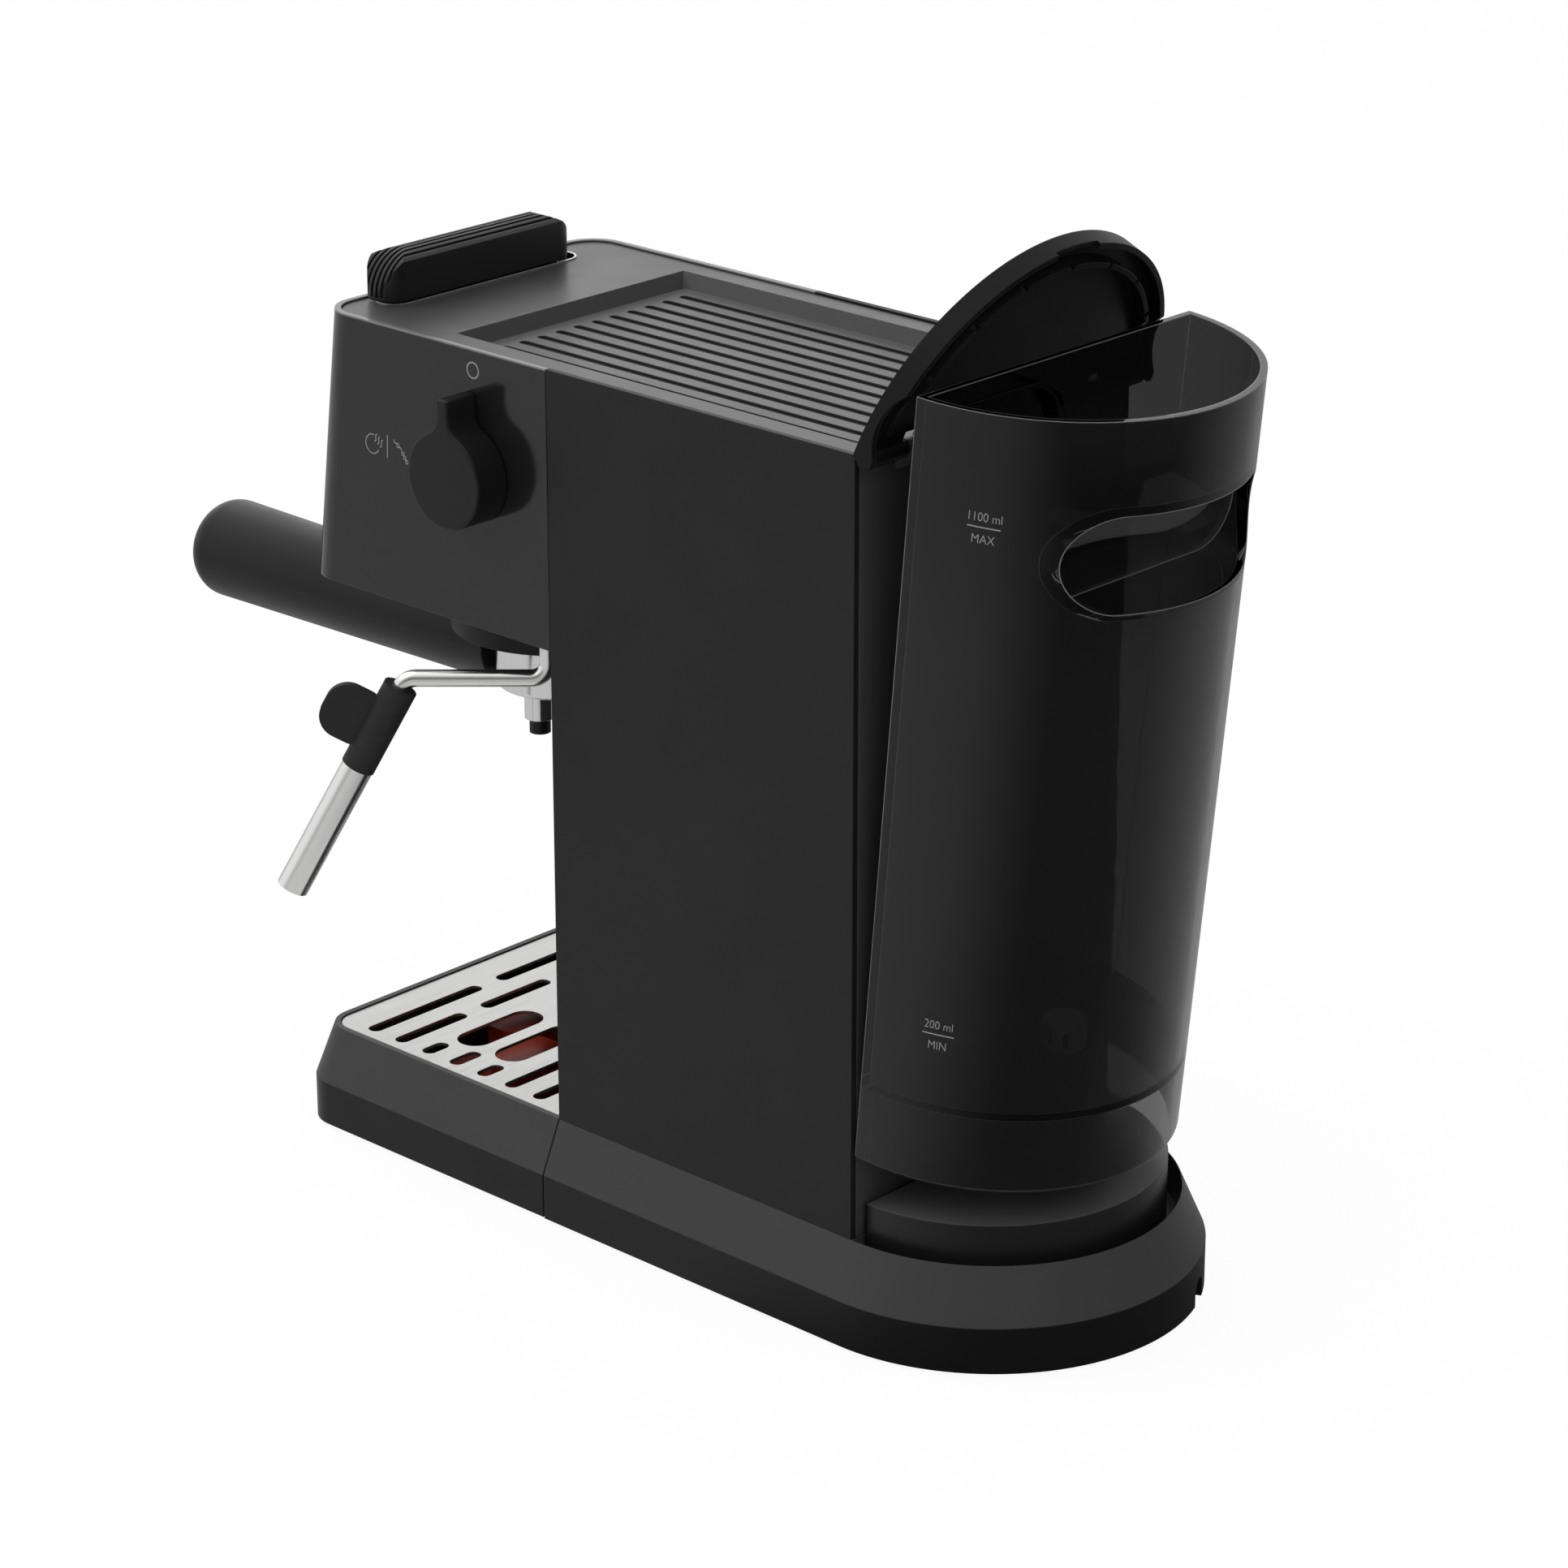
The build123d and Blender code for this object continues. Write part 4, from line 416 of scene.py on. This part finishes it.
FINISH = {
    SATIN: ["column_housing"],
    LID: ["tank_lid"],
    KNOB: ["steam_knob"],
    BASE: ["base_shell", "drip_tray"],
    GLOSS: ["head_cover"],
    TOP: ["top_plate"],
    PANEL: ["rear_panel"],
    SEAT: ["tank_seat"],
    BAR: ["control_bar"],
    BLACKED: ["panel_screws", "lid_pins"],
    PIPE: ["steam_pipe", "steam_tip"],
    MATTE: ["base_plate", "head_floor", "group_collar", "thermostat", "steam_swivel",
            "spout_outlets", "tank_valve"],
    HANDLE: ["portafilter_handle"],
    RUBBER: ["rubber_feet", "cord_gland", "group_gasket", "pump_mounts", "steam_grip",
             "inlet_seal"],
    HOSE: ["steam_hose", "inlet_hose", "outlet_hose"],
    CHROME: ["bar_bezel", "portafilter_body"],
    STEEL: ["base_screws", "bar_pin", "shower_screen", "screen_screw", "inner_frame",
            "board_spacers", "filter_basket", "knob_shaft"],
    GRILLE: ["drip_grille"],
    BRASS: ["group_head", "steam_valve"],
    CAST: ["boiler", "pump"],
    SMOKE: ["water_tank"],
    RED: ["tray_float"],
    MESH: ["tank_filter"],
    BOARD: ["control_board"],
}


def dress_nodes():
    """Give every solid its finish."""
    for material, names in FINISH.items():
        for name in names:
            data = nodes[name].data
            data.materials.clear()
            data.materials.append(material)


def tank_point(x, depth, height):
    """Point of the drawn-up, leaning tank from its own depth and height."""
    y = TANK_REST_Y + depth * math.cos(TANK_LEAN) + height * math.sin(TANK_LEAN)
    z = TANK_REST_Z - depth * math.sin(TANK_LEAN) + height * math.cos(TANK_LEAN)
    return Vector((x, y, z))


def tank_wall(angle, height, lift):
    """Point on the round wall of the tank, by angle from its near edge."""
    radius = TANK_R_LOW + (TANK_R_HIGH - TANK_R_LOW) * height / TANK_H + lift
    return tank_point(radius * math.cos(angle), radius * math.sin(angle), height)


def panel_point(y, z):
    """Point of a printed mark on the side of the head."""
    return Vector((PANEL_X + PRINT_LIFT, y, z))


def text_mesh(text, size):
    """Flat lettering as points and faces, centred on the origin."""
    curve = bpy.data.curves.new("lettering", "FONT")
    curve.body = text
    curve.size = size
    curve.offset = -size * TYPE_THIN
    curve.align_x = "CENTER"
    curve.align_y = "CENTER"
    holder = link(bpy.data.objects.new("lettering", curve))
    bpy.context.view_layer.update()
    depsgraph = bpy.context.evaluated_depsgraph_get()
    mesh = bpy.data.meshes.new_from_object(holder.evaluated_get(depsgraph))
    points = [v.co.copy() for v in mesh.vertices]
    faces = [tuple(p.vertices) for p in mesh.polygons]
    bpy.data.objects.remove(holder)
    bpy.data.meshes.remove(mesh)
    return points, faces


def strip(width, height):
    """Flat bar as points and faces, in short lengths so that it can bend."""
    points = []
    for i in range(STRIP_STEPS + 1):
        x = width * (i / STRIP_STEPS - 0.5)
        points += [Vector((x, -height / 2, 0)), Vector((x, height / 2, 0))]
    faces = [(2 * i, 2 * i + 2, 2 * i + 3, 2 * i + 1) for i in range(STRIP_STEPS)]
    return points, faces


def level_mark(name, height, figure, word):
    """Level line on the tank with a figure above it and a word below it."""
    points, faces = [], []
    shapes = [(strip(*LEVEL_LINE), 0.0), (text_mesh(figure, LEVEL_TYPE), FIGURE_SHIFT),
              (text_mesh(word, LEVEL_TYPE), WORD_SHIFT)]
    for (corners, sides), shift in shapes:
        start = len(points)
        for p in corners:
            turn = LEVEL_ANGLE + p.x * PRINT_NARROW / TANK_R_HIGH
            points.append(tank_wall(turn, height + p.y + shift, PRINT_LIFT))
        faces += [tuple(start + i for i in side) for side in sides]
    mark = mesh_object(name, points, faces, INK)
    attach(mark, "tank")


def ring_mark(name, y, z, radius, line):
    """Printed ring on the side of the head."""
    points, faces = [], []
    for i in range(RING_STEPS):
        a = 2 * math.pi * i / RING_STEPS
        for r in (radius - line / 2, radius + line / 2):
            points.append(panel_point(y + r * math.cos(a), z + r * math.sin(a)))
    for i in range(RING_STEPS):
        j = (i + 1) % RING_STEPS
        faces.append((2 * i, 2 * i + 1, 2 * j + 1, 2 * j))
    mark = mesh_object(name, points, faces, INK)
    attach(mark, "base")


def line_mark(name, paths, line):
    """Printed lines on the side of the head, each a list of (y, z) points."""
    points, faces = [], []
    for path in paths:
        start = len(points)
        for i, (y, z) in enumerate(path):
            before = path[max(i - 1, 0)]
            after = path[min(i + 1, len(path) - 1)]
            along = Vector((0, after[0] - before[0], after[1] - before[1])).normalized()
            side = Vector((0, -along.z, along.y)) * line / 2
            middle = panel_point(y, z)
            points += [middle - side, middle + side]
        faces += [(start + 2 * i, start + 2 * i + 1, start + 2 * i + 3, start + 2 * i + 2)
                  for i in range(len(path) - 1)]
    mark = mesh_object(name, points, faces, INK)
    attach(mark, "base")


def arc_path(y, z, radius, start, end):
    """Arc on the side of the head, in degrees from the rear."""
    turns = [math.radians(start + (end - start) * i / PATH_STEPS) for i in range(PATH_STEPS + 1)]
    return [(y + radius * math.cos(a), z + radius * math.sin(a)) for a in turns]


def wave_path(y, z, length, swing, lean):
    """Wavy line on the side of the head, leaning by an angle from upright."""
    path = []
    for i in range(PATH_STEPS + 1):
        along = length * (i / PATH_STEPS - 0.5)
        across = swing * math.sin(2 * math.pi * i / PATH_STEPS)
        path.append((y + along * math.sin(lean) + across * math.cos(lean),
                     z + along * math.cos(lean) - across * math.sin(lean)))
    return path


def moved(point, step, times):
    """Point (y, z) moved by a step a number of times."""
    return point[0] + step[0] * times, point[1] + step[1] * times


def make_marks():
    """Printed marks: off ring, cup and steam signs, and the tank's level lines."""
    ring_mark("off_mark", *OFF_RING, OFF_LINE)
    wisps = [moved(CUP_STEAM, CUP_STEAM_STEP, i) for i in range(SIGN_REPEATS)]
    cup = [arc_path(*CUP_ARC)] + [wave_path(*wisp, *CUP_WAVE) for wisp in wisps]
    line_mark("cup_mark", cup, SIGN_LINE)
    line_mark("divide_mark", [DIVIDE_PATH], DIVIDE_LINE)
    drops = [moved(DROPS, DROP_STEP, i) for i in range(SIGN_REPEATS)]
    steam = [wave_path(*jet) for jet in JETS] + [arc_path(*drop, DROP_R, 0, 360) for drop in drops]
    line_mark("steam_mark", steam, SIGN_LINE)
    level_mark("level_mark_high", LEVEL_HIGH, "1100 ml", "MAX")
    level_mark("level_mark_low", LEVEL_LOW, "200 ml", "MIN")


def set_camera():
    """Camera at the photograph's place."""
    data = bpy.data.cameras.new("camera")
    data.lens = CAMERA_LENS
    data.sensor_width = SENSOR
    data.clip_end = CLIP_END
    camera = link(bpy.data.objects.new("camera", data))
    camera.location = CAMERA_AT
    camera.rotation_euler = (math.radians(90 - CAMERA_EL), 0, math.radians(CAMERA_AZ))
    bpy.context.scene.camera = camera


def lobes(tree, vector, dim, shares):
    """Brightness by direction: a dim ground plus a few smooth lobes."""
    total = dim
    for direction, start, end, share in shares:
        dot = vector_math(tree, "DOT_PRODUCT", vector, Vector(direction).normalized())
        total = combine(tree, "ADD", total, smooth_step(tree, dot["Value"], start, end, share))
    return total


def pale_floor():
    """Large pale floor with a soft shadow. It is white where it is seen, straight on or through
    the tank, and reflects as a studio floor that is lit from two sides."""
    paint = Paint("pale_floor")
    tree = paint.tree
    paint.set(Base_Color=tint(FLOOR_SHADE), Roughness=FLOOR_ROUGH, Specular_IOR_Level=0.0)
    rays = paint.node("ShaderNodeLightPath").outputs
    place = paint.coords["Object"]
    near = lobes(tree, vector_math(tree, "NORMALIZE", place)["Vector"], FLOOR_DIM, FLOOR_LOBES)
    reach = vector_math(tree, "LENGTH", place)["Value"]
    far = smooth_step(tree, reach, *FLOOR_FAR, FLOOR_FAR_GLOW)
    mirrored = combine(tree, "MULTIPLY", rays["Is Glossy Ray"], combine(tree, "MAXIMUM", near, far))
    seen = combine(tree, "MAXIMUM", rays["Is Camera Ray"], rays["Is Transmission Ray"])
    strength = combine(tree, "MAXIMUM", seen, mirrored)
    white = paint.node("ShaderNodeEmission", Color=WHITE, Strength=strength)
    share = combine(tree, "MULTIPLY", seen, FLOOR_SHARE)
    share = combine(tree, "MAXIMUM", share, rays["Is Glossy Ray"])
    mix = paint.node("ShaderNodeMixShader")
    for source, socket in zip((share, paint.bsdf.outputs[0], white.outputs[0]), mix.inputs):
        plug(tree, source, socket)
    plug(tree, mix.outputs[0], tree.nodes["Material Output"].inputs["Surface"])
    half = FLOOR_HALF
    points = [(-half, -half, 0), (half, -half, 0), (half, half, 0), (-half, half, 0)]
    mesh_object("floor", points, [(0, 1, 2, 3)], paint.material)


def studio_world():
    """Dim studio walls, brighter overhead and towards the front. They are white where they are
    seen straight on or through the tank."""
    world = bpy.data.worlds.new("studio")
    bpy.context.scene.world = world
    world.use_nodes = True
    tree = world.node_tree
    rays = tree.nodes.new("ShaderNodeLightPath").outputs
    towards = tree.nodes.new("ShaderNodeTexCoord").outputs["Generated"]
    glow = lobes(tree, towards, WORLD_DIM, WORLD_LOBES)
    for kind in ("Is Camera Ray", "Is Transmission Ray"):
        glow = combine(tree, "MAXIMUM", glow, rays[kind])
    background = tree.nodes["Background"]
    plug(tree, WHITE, background.inputs["Color"])
    plug(tree, glow, background.inputs["Strength"])


def soft_lamp(name, at):
    """Square soft lamp aimed at the middle of the machine, and kept out of its gloss."""
    data = bpy.data.lights.new(name, "AREA")
    data.shape = "SQUARE"
    data.size = LAMP_SIZE
    data.energy = LAMP_POWER
    lamp = link(bpy.data.objects.new(name, data))
    lamp.visible_glossy = False
    lamp.location = at
    lamp.rotation_euler = (Vector(LAMP_AIM) - Vector(at)).to_track_quat("-Z", "Y").to_euler()


dress_nodes()
make_marks()
set_camera()
pale_floor()
studio_world()
soft_lamp("key", KEY_AT)
soft_lamp("fill", FILL_AT)
bpy.context.scene.view_settings.view_transform = "Standard"
